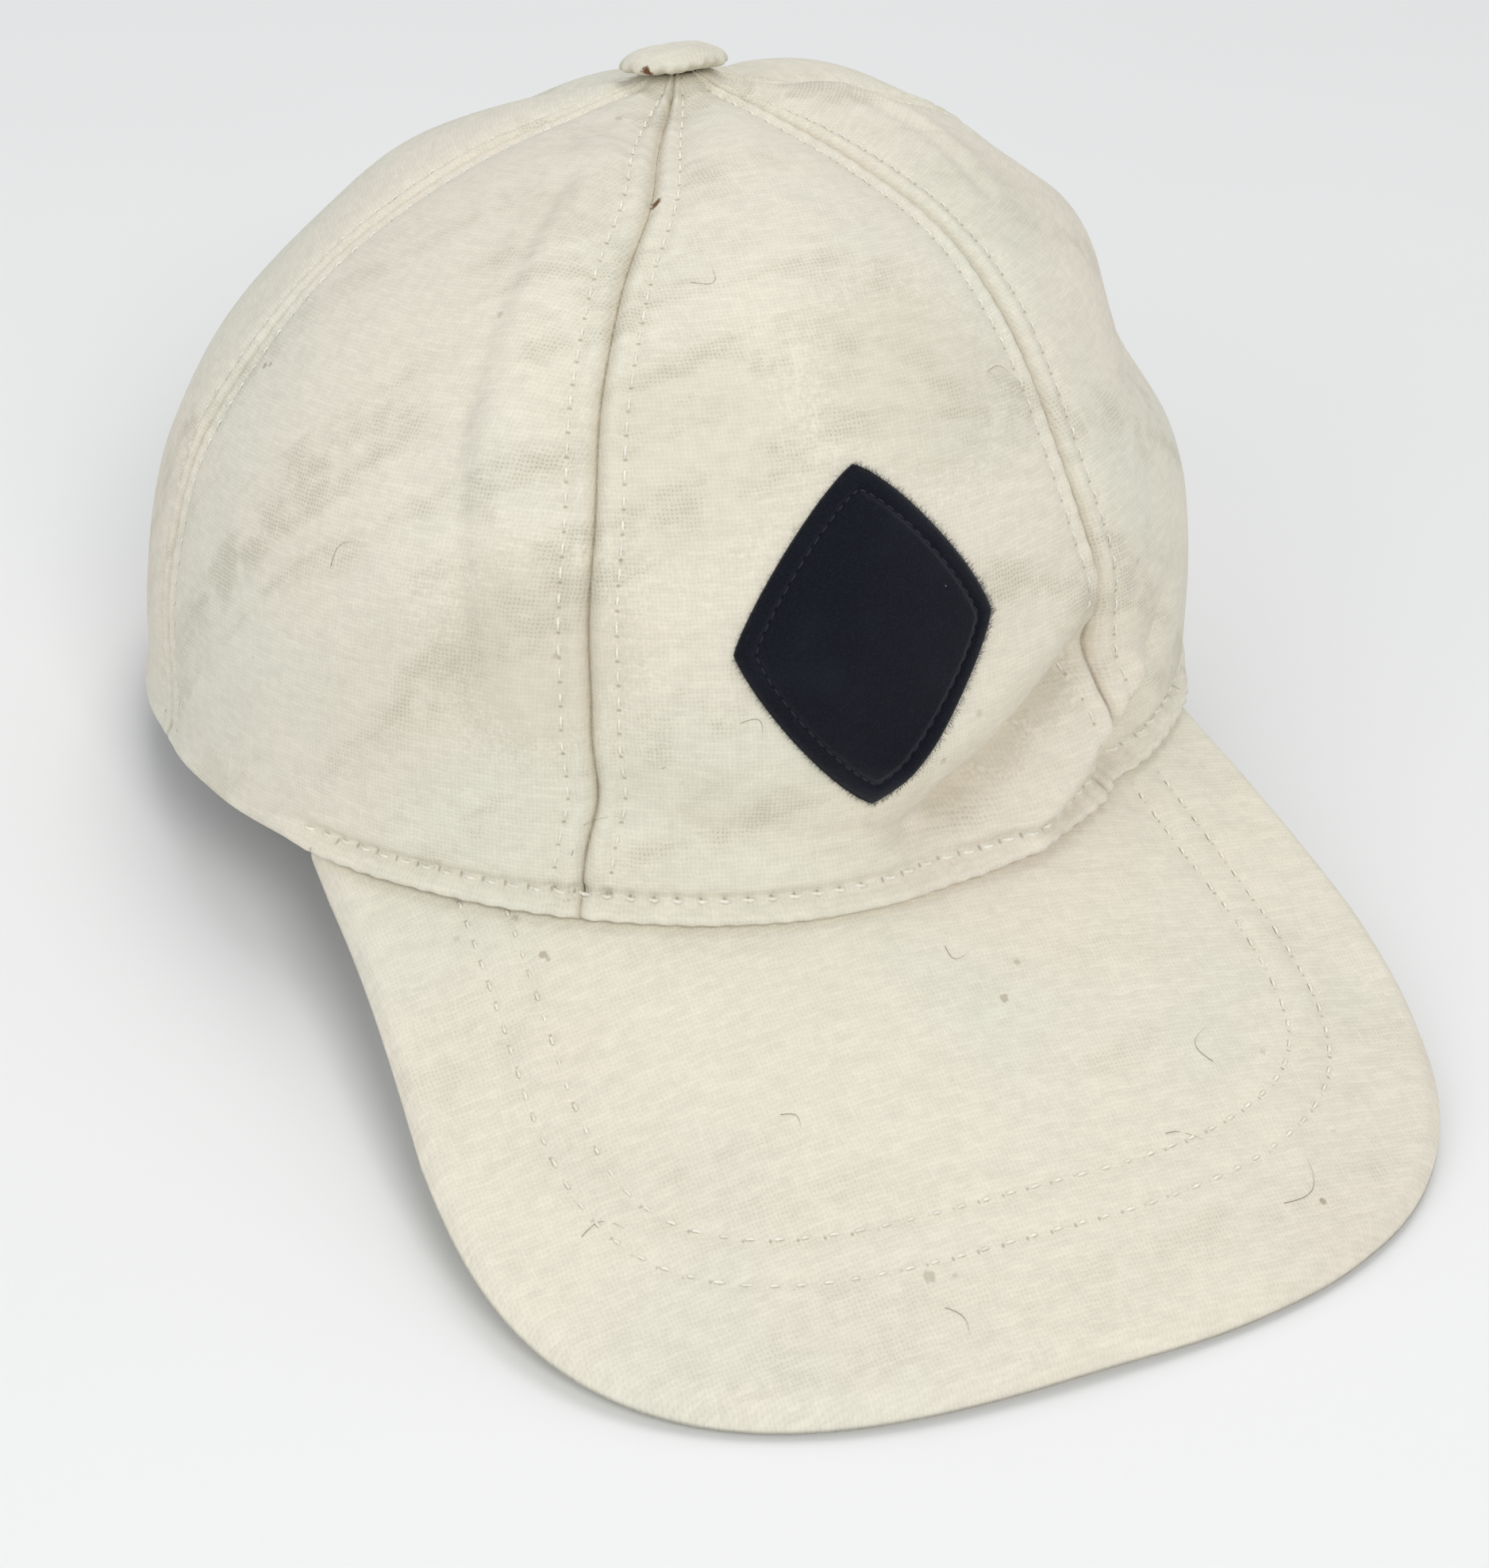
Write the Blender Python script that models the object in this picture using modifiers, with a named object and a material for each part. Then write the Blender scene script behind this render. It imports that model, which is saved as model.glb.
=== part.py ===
"""Six-panel wool baseball cap with a covered top button, a long two-cover peak and a plain felt patch.

Metres, +Z up, the front of the cap towards -Y and the wearer's left towards +X. The cap lies on a
floor at z = 0 as it would by itself, on the front edge of its peak and the back of its rim.

The pieces are worked out in the cap's own frame, where the rim lies in the plane z = 0 round the
origin, and are then tipped back together until they rest. Azimuths are degrees from the front,
growing towards +X. A level is a share of the way from the rim to the top, measured over the cloth.
"""

import math

import bmesh
import bpy
import numpy as np
from mathutils import Matrix, Vector
from mathutils.bvhtree import BVHTree

# Crown
RIM_RADIUS = 0.0915
CROWN_HEIGHT = 0.1055
TOP_FORWARD = 0.0056
TOP_SIDEWAYS = 0.0053
FRONT_DIP = 0.0082
SIDE_RISE = 0.0016
TOP_NUB = 0.0008
TOP_NUB_RADIUS = 0.0110
PANEL_COUNT = 6
PANEL_CLOTH = 0.0018
SEAM_DEPTH = 0.0016
SEAM_HALF_WIDTH = 0.0050
PANEL_PUFF = 0.0012
TOP_HOLE_RADIUS = 0.0036
FIT_GAP = 0.0003

# Roundness of the crown's profile: radius follows cos and height follows sin of one angle, each
# raised to its own power, so the wall is steep and the top is flat
WALL_POWER = 1.13
TOP_POWER = 0.63

# Within this share of the rim's radius from the top, seams and folds fade out under the button
SMOOTH_TOP_SHARE = 0.30

# Peak
PEAK_LENGTH = 0.0690
PEAK_HALF_WIDTH = 0.0816
PEAK_WIDEST_AHEAD = 0.0114
PEAK_END_AZIMUTH = 57.2
PEAK_ROOT_TURN = -3.3
PEAK_LEAN = 0.022
PEAK_SIDE_DRAW = 0.0010
PEAK_FRONT_SLOPE = 30.0
PEAK_SIDE_SLOPE = 24.5
PEAK_CORNER_POWER = 2.65
PEAK_SIDE_POWER = 1.6
PEAK_CLOTH = 0.0018
PEAK_LAST_RAY = 0.95

# Button and the rivet that holds it
BUTTON_RADIUS = 0.0088
BUTTON_HEIGHT = 0.0052
BUTTON_ROUNDNESS = 2.3
RIVET_POST_RADIUS = 0.0022
RIVET_POST_REACH = 0.0020
RIVET_DISC_RADIUS = 0.0062
RIVET_DISC_THICKNESS = 0.0010

# Felt patch, a lozenge with rounded corners, which is dropped on to the panel from PATCH_DROP
PATCH_WIDTH = 0.0420
PATCH_HEIGHT = 0.0500
PATCH_FELT = 0.0011
PATCH_AZIMUTH = -1.5
PATCH_LEVEL = 0.262
PATCH_CORNER_POWER = 1.22
PATCH_DROP = 0.0090

# How far the soft rim settles on the floor at the back
BACK_SAG = 0.0025

# Grid counts: columns across, rows along
PANEL_GRID = (12, 18)
PEAK_GRID = (30, 8)
PATCH_GRID = (12, 12)
OUTLINE_STEPS = (200, 60)
PROFILE_STEPS = 721
DOME_STEPS = 8
TURN_STEPS = 24
SHARP_EDGE = 42.0

# How much the grid's columns crowd towards the seams and its rows towards the rim
SEAM_CROWDING = 0.55
RIM_CROWDING = 1.3

# Broad swells and hollows of the crown. Azimuths in degrees, levels as shares of the cloth's way
# up, half_height as a share of that way too, and rise as a share of the rim's radius.
SWELLS = [
    # azimuth, level, half_azimuth, half_height, rise
    (-118.0, 0.00, 36.0, 0.05, 0.036),
    (-115.0, 0.12, 50.0, 0.22, 0.005),
    (-126.0, 0.48, 46.0, 0.24, -0.042),
    (54.0, 0.18, 34.0, 0.15, 0.025),
    (64.0, 0.38, 24.0, 0.11, -0.050),
    (0.0, 0.24, 26.0, 0.16, 0.016),
    (-60.0, 0.36, 15.0, 0.26, -0.014),
    (-40.0, 0.62, 9.0, 0.20, 0.014),
    (180.0, 0.30, 50.0, 0.22, 0.012),
    (82.0, 0.57, 18.0, 0.08, 0.020),
    (112.0, 0.74, 26.0, 0.09, 0.028),
]

# Folds of the crown's cloth, each along a straight line over the cloth. Half width and rise are
# shares of the rim's radius; a rise below zero is a crease.
FOLDS = [
    # from_azimuth, from_level, to_azimuth, to_level, half_width, rise
    (-25.0, 0.108, 6.0, 0.060, 0.075, -0.026),
    (6.0, 0.060, 28.0, 0.165, 0.070, -0.032),
    (-43.0, 0.780, -41.0, 0.450, 0.070, 0.018),
    (-41.0, 0.450, -35.0, 0.190, 0.065, 0.014),
    (47.0, 0.150, 33.0, 0.020, 0.055, -0.026),
    (70.0, 0.850, 46.0, 0.640, 0.060, 0.018),
]


def remove_all():
    """Clear the scene, so that the script starts from nothing."""
    for old in list(bpy.data.objects):
        bpy.data.objects.remove(old)


def material(name, colour, roughness, metallic):
    """A plain Principled finish."""
    made = bpy.data.materials.new(name)
    made.use_nodes = True
    shader = made.node_tree.nodes["Principled BSDF"]
    shader.inputs["Base Color"].default_value = (*colour, 1.0)
    shader.inputs["Roughness"].default_value = roughness
    shader.inputs["Metallic"].default_value = metallic
    return made


def profile_table():
    """The crown's profile from rim to top: level, radius share and height share, as arrays."""
    angle = np.linspace(0.0, math.pi / 2, PROFILE_STEPS)
    radius = np.cos(angle) ** WALL_POWER
    height = np.sin(angle) ** TOP_POWER
    steps = np.hypot(np.diff(radius * RIM_RADIUS), np.diff(height * CROWN_HEIGHT))
    length = np.concatenate([[0.0], np.cumsum(steps)])
    return length / length[-1], radius, height, length[-1]


LEVELS, RADIUS_SHARES, HEIGHT_SHARES, CLOTH_RISE = profile_table()


def radius_share(level):
    return np.interp(level, LEVELS, RADIUS_SHARES)


def level_at_radius(radius):
    """The level at which the crown has narrowed to a radius."""
    return float(np.interp(-radius / RIM_RADIUS, -RADIUS_SHARES, LEVELS))


def bare_crown(azimuth, level):
    """The crown without seams or folds; azimuth in radians."""
    radius = RIM_RADIUS * radius_share(level)
    height = np.interp(level, LEVELS, HEIGHT_SHARES)
    dip = FRONT_DIP * np.maximum(np.cos(azimuth), 0.0) ** 2 - SIDE_RISE * np.sin(azimuth) ** 2
    nub = TOP_NUB * np.exp(-((radius / TOP_NUB_RADIUS) ** 2))
    return np.stack([
        radius * np.sin(azimuth) + TOP_SIDEWAYS * height**2,
        -radius * np.cos(azimuth) - TOP_FORWARD * height**2,
        CROWN_HEIGHT * height - dip * (1.0 - height) + nub,
    ], axis=-1)


def outward(azimuth, level):
    """Unit normals of the bare crown, from its slopes along both directions."""
    small = 1e-3
    low = np.clip(level - small, 0.0, 1.0)
    high = np.clip(level + small, 0.0, 1.0)
    across = bare_crown(azimuth + small, level) - bare_crown(azimuth - small, level)
    along = bare_crown(azimuth, high) - bare_crown(azimuth, low)
    normal = np.cross(across, along)
    return normal / np.linalg.norm(normal, axis=-1, keepdims=True)


def turned_by(azimuth, centre_degrees):
    """Signed angle from a centre line, wrapped to half a turn each way."""
    return (azimuth - math.radians(centre_degrees) + math.pi) % (2 * math.pi) - math.pi


def seam_relief(azimuth, level):
    """Valleys along the seams and a slight puff of the cloth between them."""
    seam_step = 2 * math.pi / PANEL_COUNT
    across = (azimuth % seam_step) - seam_step / 2
    distance = RIM_RADIUS * radius_share(level) * across
    valley = np.exp(-((distance / SEAM_HALF_WIDTH) ** 2))
    puff = np.sin(math.pi * across / seam_step) ** 2
    return PANEL_PUFF * puff - SEAM_DEPTH * valley


def swell_relief(azimuth, level):
    """Broad swells and hollows, each a soft bell in azimuth and level."""
    total = np.zeros_like(level)
    for centre, middle, half_azimuth, half_height, rise in SWELLS:
        turn = turned_by(azimuth, centre) / math.radians(half_azimuth)
        climb = (level - middle) / half_height
        total = total + rise * RIM_RADIUS * np.exp(-(turn**2) - climb**2)
    return total


def fold_relief(azimuth, level):
    """Folds and creases: a soft bell in the distance to a line drawn on the cloth."""
    total = np.zeros_like(level)
    for from_azimuth, from_level, to_azimuth, to_level, half_width, rise in FOLDS:
        reach = RIM_RADIUS * radius_share(level)
        across = reach * turned_by(azimuth, from_azimuth)
        along = CLOTH_RISE * (level - from_level)
        run_across = reach * math.radians(to_azimuth - from_azimuth)
        run_along = CLOTH_RISE * (to_level - from_level)
        share = (across * run_across + along * run_along) / (run_across**2 + run_along**2)
        share = np.clip(share, 0.0, 1.0)
        distance = np.hypot(across - share * run_across, along - share * run_along)
        total = total + rise * RIM_RADIUS * np.exp(-((distance / (half_width * RIM_RADIUS)) ** 2))
    return total


def crown_point(azimuth, level):
    """A point on the crown's outer face."""
    fade = np.clip(radius_share(level) / SMOOTH_TOP_SHARE, 0.0, 1.0) ** 2
    relief = seam_relief(azimuth, level) + swell_relief(azimuth, level) + fold_relief(azimuth, level)
    return bare_crown(azimuth, level) + outward(azimuth, level) * (relief * fade)[..., None]


def peak_outline(hand):
    """Half of the peak's plan from its tip round to its end on the rim: share, sideways, forward.

    hand is 1 for the wearer's left half and -1 for the right one. The front is part of a
    superellipse, and the side runs on to the rim in one easy curve.
    """
    tip = RIM_RADIUS + PEAK_LENGTH
    widest = RIM_RADIUS + PEAK_WIDEST_AHEAD
    end = math.radians(PEAK_END_AZIMUTH + hand * PEAK_ROOT_TURN)
    turn = np.linspace(0.0, math.pi / 2, OUTLINE_STEPS[0])
    corner_side = PEAK_HALF_WIDTH * np.sin(turn) ** (2 / PEAK_CORNER_POWER)
    corner_ahead = widest + (tip - widest) * np.cos(turn) ** (2 / PEAK_CORNER_POWER)
    share = np.linspace(0.0, 1.0, OUTLINE_STEPS[1])[1:]
    edge_side = PEAK_HALF_WIDTH - (PEAK_HALF_WIDTH - RIM_RADIUS * math.sin(end)) * share**PEAK_SIDE_POWER
    edge_ahead = widest + (RIM_RADIUS * math.cos(end) - widest) * share
    ahead = np.concatenate([corner_ahead, edge_ahead])
    lean = PEAK_LEAN * (corner_ahead - widest)
    draw = PEAK_SIDE_DRAW * np.sin(math.pi * share)
    sideways = np.concatenate([corner_side * hand + lean, edge_side * hand - draw])
    length = np.concatenate([[0.0], np.cumsum(np.hypot(np.diff(sideways), np.diff(ahead)))])
    return length / length[-1], sideways, ahead


def peak_edge(side):
    """Sideways and forward places on the peak's outline where the ray of each side ends."""
    target = np.abs(side) * PEAK_LAST_RAY
    right, left = [
        [np.interp(target, share, along) for along in (sideways, ahead)]
        for share, sideways, ahead in (peak_outline(-1), peak_outline(1))
    ]
    return [np.where(side < 0, on_right, on_left) for on_right, on_left in zip(right, left)]


def peak_point(side, reach):
    """A point on the peak's top face.

    Straight rays run from the rim to the outline: side picks the ray, -1 to 1, and reach goes
    along it, from 0 at the rim to 1 at the edge, or below 0 for the part tucked under the wall.
    """
    edge_x, edge_ahead = peak_edge(side)
    edge_y = -edge_ahead
    azimuth = np.radians(PEAK_END_AZIMUTH * side + PEAK_ROOT_TURN * side**2)
    foot = crown_point(azimuth, np.zeros_like(azimuth))
    foot_x, foot_y = foot[..., 0], foot[..., 1]
    run = np.hypot(edge_x - foot_x, edge_y - foot_y)
    slope = np.radians(PEAK_FRONT_SLOPE + (PEAK_SIDE_SLOPE - PEAK_FRONT_SLOPE) * side**2)
    out = np.clip(reach, 0.0, 1.0)
    tucked = np.clip(-reach, 0.0, 1.0) * (PANEL_CLOTH + FIT_GAP)
    return np.stack([
        foot_x + (edge_x - foot_x) * out - tucked * np.sin(azimuth),
        foot_y + (edge_y - foot_y) * out + tucked * np.cos(azimuth),
        foot[..., 2] - FIT_GAP - run * out * np.tan(slope),
    ], axis=-1)


def mapped_grid(name, columns, rows, place):
    """A grid primitive whose corners, from -1 to 1 both ways, are placed by a function."""
    mesh = bpy.data.meshes.new(name)
    grid = bmesh.new()
    bmesh.ops.create_grid(grid, x_segments=columns, y_segments=rows, size=1.0)
    flat = np.array([corner.co[:2] for corner in grid.verts])
    for corner, point in zip(grid.verts, place(flat[:, 0], flat[:, 1])):
        corner.co = Vector(point)
    grid.to_mesh(mesh)
    grid.free()
    made = bpy.data.objects.new(name, mesh)
    parts.objects.link(made)
    return made


def thickened(made, thickness, side, finish):
    """Give an open surface its wall: side 1 grows outwards, -1 inwards."""
    wall = made.modifiers.new("wall", "SOLIDIFY")
    wall.thickness = thickness
    wall.offset = side
    return settled_mesh(made, finish)


def settled_mesh(made, finish):
    """Apply the object's modifiers and give it its finish."""
    bpy.context.view_layer.update()
    seen = made.evaluated_get(bpy.context.evaluated_depsgraph_get())
    mesh = bpy.data.meshes.new_from_object(seen)
    mesh.name = made.name
    made.modifiers.clear()
    made.data = mesh
    mesh.materials.clear()
    mesh.materials.append(finish)
    mesh.shade_smooth()
    mesh.set_sharp_from_angle(angle=math.radians(SHARP_EDGE))
    return made


def panel(name, index, finish):
    """One wedge of the crown, from the rim to the hole at the top, seam to seam."""
    half_turn = math.pi / PANEL_COUNT
    centre = index * 2 * half_turn
    top_level = level_at_radius(TOP_HOLE_RADIUS)

    def place(across, along):
        level = ((along + 1) / 2) ** RIM_CROWDING * top_level
        crowded = across + SEAM_CROWDING * np.sin(math.pi * across) / math.pi
        gap = FIT_GAP / 2 / (RIM_RADIUS * radius_share(level))
        return crown_point(centre + crowded * (half_turn - gap), level)

    wall = thickened(mapped_grid(name, *PANEL_GRID, place), PANEL_CLOTH, -1, finish)
    return rim_squared(wall)


def rim_squared(wall):
    """Level the wall's lower edge: each inner corner of the rim at the height of its outer one."""
    corners = wall.data.vertices
    inner_start = len(corners) // 2
    for index in range(PANEL_GRID[0] + 1):
        corners[inner_start + index].co.z = corners[index].co.z
    return wall


def peak_cover(name, depth, finish):
    """One cloth cover of the peak; depth is how far its top face lies below the peak's."""
    tuck_rows = 1
    columns, rows = PEAK_GRID

    def place(across, along):
        row = (1 - along) / 2 * (rows + tuck_rows) - tuck_rows
        return peak_point(across, np.where(row < 0, row / tuck_rows, row / rows))

    made = mapped_grid(name, columns, rows + tuck_rows, place)
    sheet = bmesh.new()
    sheet.from_mesh(made.data)
    sheet.normal_update()
    shifts = [corner.normal * depth for corner in sheet.verts]
    for corner, shift in zip(sheet.verts, shifts):
        corner.co -= shift
    sheet.to_mesh(made.data)
    sheet.free()
    return thickened(made, PEAK_CLOTH, -1, finish)


def seated(points, normals, ground):
    """Points dropped along their normals on to another piece's faces, a small gap above them."""
    tree = BVHTree.FromPolygons(
        [corner.co for corner in ground.data.vertices],
        [tuple(face.vertices) for face in ground.data.polygons],
    )
    moved = []
    for point, normal in zip(points, normals):
        direction = Vector(normal)
        hit = tree.ray_cast(Vector(point) + direction * PATCH_DROP, -direction)[0]
        moved.append((hit if hit else Vector(point)) + direction * FIT_GAP)
    return moved


def patch(name, ground, finish):
    """The felt lozenge that lies on the front panel."""

    def place(across, along):
        sideways, upward = (across - along) / 2, (across + along) / 2
        straight = np.abs(sideways) + np.abs(upward)
        rounded = np.abs(sideways) ** PATCH_CORNER_POWER + np.abs(upward) ** PATCH_CORNER_POWER
        rounding = straight / np.maximum(rounded, 1e-9) ** (1 / PATCH_CORNER_POWER)
        level = PATCH_LEVEL + upward * rounding * PATCH_HEIGHT / 2 / CLOTH_RISE
        turn = sideways * rounding * PATCH_WIDTH / 2 / (RIM_RADIUS * radius_share(level))
        azimuth = math.radians(PATCH_AZIMUTH) + turn
        return seated(crown_point(azimuth, level), outward(azimuth, level), ground)

    return thickened(mapped_grid(name, *PATCH_GRID, place), PATCH_FELT, 1, finish)


def turned(name, outline, finish):
    """A solid turned about the crown's top: its half outline runs from the top centre, down the
    outer side, to the bottom centre, as radius and height above the crown's top."""
    mesh = bpy.data.meshes.new(name)
    points = [(radius, 0.0, height) for radius, height in outline]
    mesh.from_pydata(points, [(i, i + 1) for i in range(len(points) - 1)], [])
    made = bpy.data.objects.new(name, mesh)
    parts.objects.link(made)
    spin = made.modifiers.new("turn", "SCREW")
    spin.axis = "Z"
    spin.steps = spin.render_steps = TURN_STEPS
    spin.use_merge_vertices = True
    spin.merge_threshold = 1e-5
    spin.use_normal_calculate = False
    settled_mesh(made, finish)
    made.data.transform(Matrix.Translation((TOP_SIDEWAYS, -TOP_FORWARD, CROWN_HEIGHT + TOP_NUB)))
    return made


def button_outline():
    """A low dome over a flat underside with a socket for the rivet's post."""
    bore_radius = RIVET_POST_RADIUS + FIT_GAP
    bore_top = FIT_GAP + RIVET_POST_REACH + FIT_GAP
    dome = []
    for turn in np.linspace(0.0, math.pi / 2, DOME_STEPS):
        radius = BUTTON_RADIUS * math.sin(turn) ** (2 / BUTTON_ROUNDNESS)
        height = BUTTON_HEIGHT * max(math.cos(turn), 0.0) ** (2 / BUTTON_ROUNDNESS)
        dome.append((radius, FIT_GAP + height))
    underside = [(bore_radius, FIT_GAP), (bore_radius, bore_top), (0.0, bore_top)]
    return dome + underside


def rivet_outline():
    """A disc inside the crown with a post up through the top hole into the button."""
    edge_level = np.array([level_at_radius(RIVET_DISC_RADIUS)])
    drop = CROWN_HEIGHT + TOP_NUB - float(bare_crown(np.zeros(1), edge_level)[0, 2])
    disc_top = -(PANEL_CLOTH + FIT_GAP) - drop
    disc_bottom = disc_top - RIVET_DISC_THICKNESS
    post_top = FIT_GAP + RIVET_POST_REACH
    return [
        (0.0, post_top),
        (RIVET_POST_RADIUS, post_top),
        (RIVET_POST_RADIUS, disc_top),
        (RIVET_DISC_RADIUS, disc_top),
        (RIVET_DISC_RADIUS, disc_bottom),
        (0.0, disc_bottom),
    ]


def resting_place(peak_piece):
    """The turn and shift that bring the peak's edge and the back of the rim down to z = 0."""
    back = crown_point(np.array([math.pi]), np.array([0.0]))[0]
    hinge_y, hinge_z = back[1], back[2] + BACK_SAG
    corners = [corner.co for corner in peak_piece.data.vertices]
    tilt = max(math.atan2(hinge_z - corner.z, hinge_y - corner.y) for corner in corners)
    return Matrix.Rotation(-tilt, 4, "X") @ Matrix.Translation((0.0, -hinge_y, -hinge_z))


def lay_down(pieces, place, carrier):
    """Put every piece in its resting place, flatten the rim on the floor and centre the cap."""
    low, high = Vector((1e9, 1e9)), Vector((-1e9, -1e9))
    for piece in pieces:
        piece.data.transform(place)
        for corner in piece.data.vertices:
            corner.co.z = max(corner.co.z, 0.0)
            low.x, low.y = min(low.x, corner.co.x), min(low.y, corner.co.y)
            high.x, high.y = max(high.x, corner.co.x), max(high.y, corner.co.y)
        piece.parent = carrier
    carrier.location = (-(low.x + high.x) / 2, -(low.y + high.y) / 2, 0.0)


remove_all()
parts = bpy.data.collections.new("baseball_cap")
bpy.context.scene.collection.children.link(parts)
carrier = bpy.data.objects.new("cap_origin", None)
parts.objects.link(carrier)

cream_wool = material("cream_wool", (0.72, 0.67, 0.55), 0.95, 0.0)
navy_felt = material("navy_felt", (0.012, 0.014, 0.022), 0.98, 0.0)
rivet_metal = material("rivet_metal", (0.55, 0.55, 0.56), 0.38, 1.0)

PANEL_NAMES = [
    "front_panel",
    "left_front_panel",
    "left_back_panel",
    "back_panel",
    "right_back_panel",
    "right_front_panel",
]
pieces = [panel(name, index, cream_wool) for index, name in enumerate(PANEL_NAMES)]
pieces.append(peak_cover("peak_top_cover", 0.0, cream_wool))
under_cover = peak_cover("peak_under_cover", PEAK_CLOTH + FIT_GAP, cream_wool)
pieces.append(under_cover)
pieces.append(turned("top_button", button_outline(), cream_wool))
pieces.append(turned("button_rivet", rivet_outline(), rivet_metal))
pieces.append(patch("front_patch", pieces[0], navy_felt))
REST = resting_place(under_cover)
lay_down(pieces, REST, carrier)
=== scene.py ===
"""The looks of a six-panel wool baseball cap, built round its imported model.

Metres, in the row frame: +Z up from the floor, the peak towards -Y, the wearer's left towards +X.
The cloth is worked out in the cap's own frame, where the rim lies in the plane z = 0 round the
origin, and is then laid down as the cap rests. Azimuths go from the front towards +X. A level is a
share of the way from the rim to the top over the cloth, and a rise is the same way in metres. Most
surfaces are a mapping of two parameters: azimuth and level for the crown, and for the peak side,
from -1 at its right end to 1 at its left one, and reach, from 0 at the rim to 1 at its edge.
"""

import math

import bmesh
import bpy
import numpy as np
from mathutils import Matrix, Vector


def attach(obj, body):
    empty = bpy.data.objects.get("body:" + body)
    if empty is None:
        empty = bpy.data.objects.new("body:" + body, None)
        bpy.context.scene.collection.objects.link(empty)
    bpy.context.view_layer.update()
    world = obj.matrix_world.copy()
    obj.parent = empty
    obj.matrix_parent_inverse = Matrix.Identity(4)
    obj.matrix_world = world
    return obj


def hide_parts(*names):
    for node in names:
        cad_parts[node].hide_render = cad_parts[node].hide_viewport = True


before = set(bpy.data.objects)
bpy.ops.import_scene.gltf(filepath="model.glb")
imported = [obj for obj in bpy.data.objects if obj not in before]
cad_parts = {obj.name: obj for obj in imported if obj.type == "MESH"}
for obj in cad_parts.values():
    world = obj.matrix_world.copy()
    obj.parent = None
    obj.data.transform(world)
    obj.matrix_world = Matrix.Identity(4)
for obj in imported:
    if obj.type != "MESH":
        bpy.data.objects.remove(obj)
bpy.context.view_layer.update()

# Crown, the sizes that the solids have
RIM_RADIUS = 0.0915
CROWN_HEIGHT = 0.1055
TOP_FORWARD = 0.0056
TOP_SIDEWAYS = 0.0053
FRONT_DIP = 0.0082
SIDE_RISE = 0.0016
TOP_NUB = 0.0020
TOP_NUB_RADIUS = 0.0130
PANEL_COUNT = 6
PANEL_PUFF = 0.0012
TOP_HOLE_RADIUS = 0.0036
WALL_POWER = 1.13
TOP_POWER = 0.63
SMOOTH_TOP_SHARE = 0.30
DRAWN_IN = 0.0006
DRAWN_IN_ABOVE = 0.0080
FIT_GAP = 0.0003

# Peak
PEAK_LENGTH = 0.0690
PEAK_HALF_WIDTH = 0.0816
PEAK_WIDEST_AHEAD = 0.0114
PEAK_END_AZIMUTH = 57.2
PEAK_ROOT_TURN = -3.3
PEAK_LEAN = 0.022
PEAK_SIDE_DRAW = 0.0010
PEAK_FRONT_SLOPE = 30.0
PEAK_SIDE_SLOPE = 24.5
PEAK_CORNER_POWER = 2.65
PEAK_SIDE_POWER = 1.6
PEAK_LAST_RAY = 0.95
PEAK_DEPTH = 0.0039
PEAK_EDGE_DEPTH = 0.0019
PEAK_EDGE_WIDTH = 0.0026
UNDER_EDGE_INSET = 0.0006
PEAK_EDGE_POWER = 2.2
ROOT_PRESS = 0.0004
ROOT_PRESS_LENGTH = 0.0020
ROOT_INSET = 0.0010

# Button
BUTTON_RADIUS = 0.0090
BUTTON_HEIGHT = 0.0048
BUTTON_LIFT = 0.0006
BUTTON_WAIST = 0.42
BUTTON_POWERS = (0.66, 0.50)
BUTTON_LEAN = (0.020, -0.12)
BUTTON_PLACE = (0.0045, -0.0056, 0.1063)
BUTTON_STAIN = (-0.0068, -0.0055, 0.0019)

# The crown's pieces, from the front round over the wearer's left
PANELS = ("front_panel", "left_front_panel", "left_back_panel",
          "back_panel", "right_back_panel", "right_front_panel")

# Felt lozenge
PATCH_WIDTH = 0.0420
PATCH_HEIGHT = 0.0500
PATCH_FELT = 0.0013
PATCH_AZIMUTH = -1.5
PATCH_LEVEL = 0.262
PATCH_CORNER_POWER = 1.22
PATCH_HALF_ACROSS = PATCH_WIDTH * PATCH_HEIGHT / 2 / math.hypot(PATCH_WIDTH, PATCH_HEIGHT)
PATCH_ROW = 0.0024
PATCH_BACK = 0.00004
PATCH_EDGE = 0.0011
PATCH_STEPS = 131
PATCH_FULLNESS = 0.00035
PATCH_GROOVE = (-0.0006, PATCH_ROW, 0.00042)

# How the cap rests: tipped back on its peak, the soft rim settled at the back, centred on its box
REST_TILT = math.radians(12.1883)
BACK_SAG = 0.0025
RIM_SWELL = 0.0012
SETTLE_RISE = 0.0120
RIM_CLEARANCE = 0.0002
BOX_CENTRE = (0.00083, 0.12665)

# Cloth, seams and thread
CLOTH = 0.0010
FOLD_RADIUS = 0.00115
HEM_WIDTH = 0.0130
HEM_ROW = 0.0035
ALLOWANCE_WIDTH = 0.0080
ALLOWANCE_START = 0.0002
LAYER_GAP = 0.00012
SEAM_ROW = 0.0045
SEAM_WANDER = 0.0005
SEAM_WAVES = ((1.0, 2.2, 1.7), (0.6, 5.1, 2.9))
ROW_NARROWING_RADIUS = 0.016
HEM_OVER_SEAM = 0.0040
HEM_SEWN_TO = 1.0
HEM_SEWN_FADE = 1.2
STITCH = 0.0037
PEAK_STITCH = 0.0040
PEAK_ROWS = (0.0173, 0.0236)
PANEL_COLUMNS = 84
FINE_ROWS_RISE = 0.0075
PEAK_COLUMNS = 216
WAVE_COUNT = 16
WAVE_SHARE = 0.008
WEAVE_PITCH = 0.00066

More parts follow.
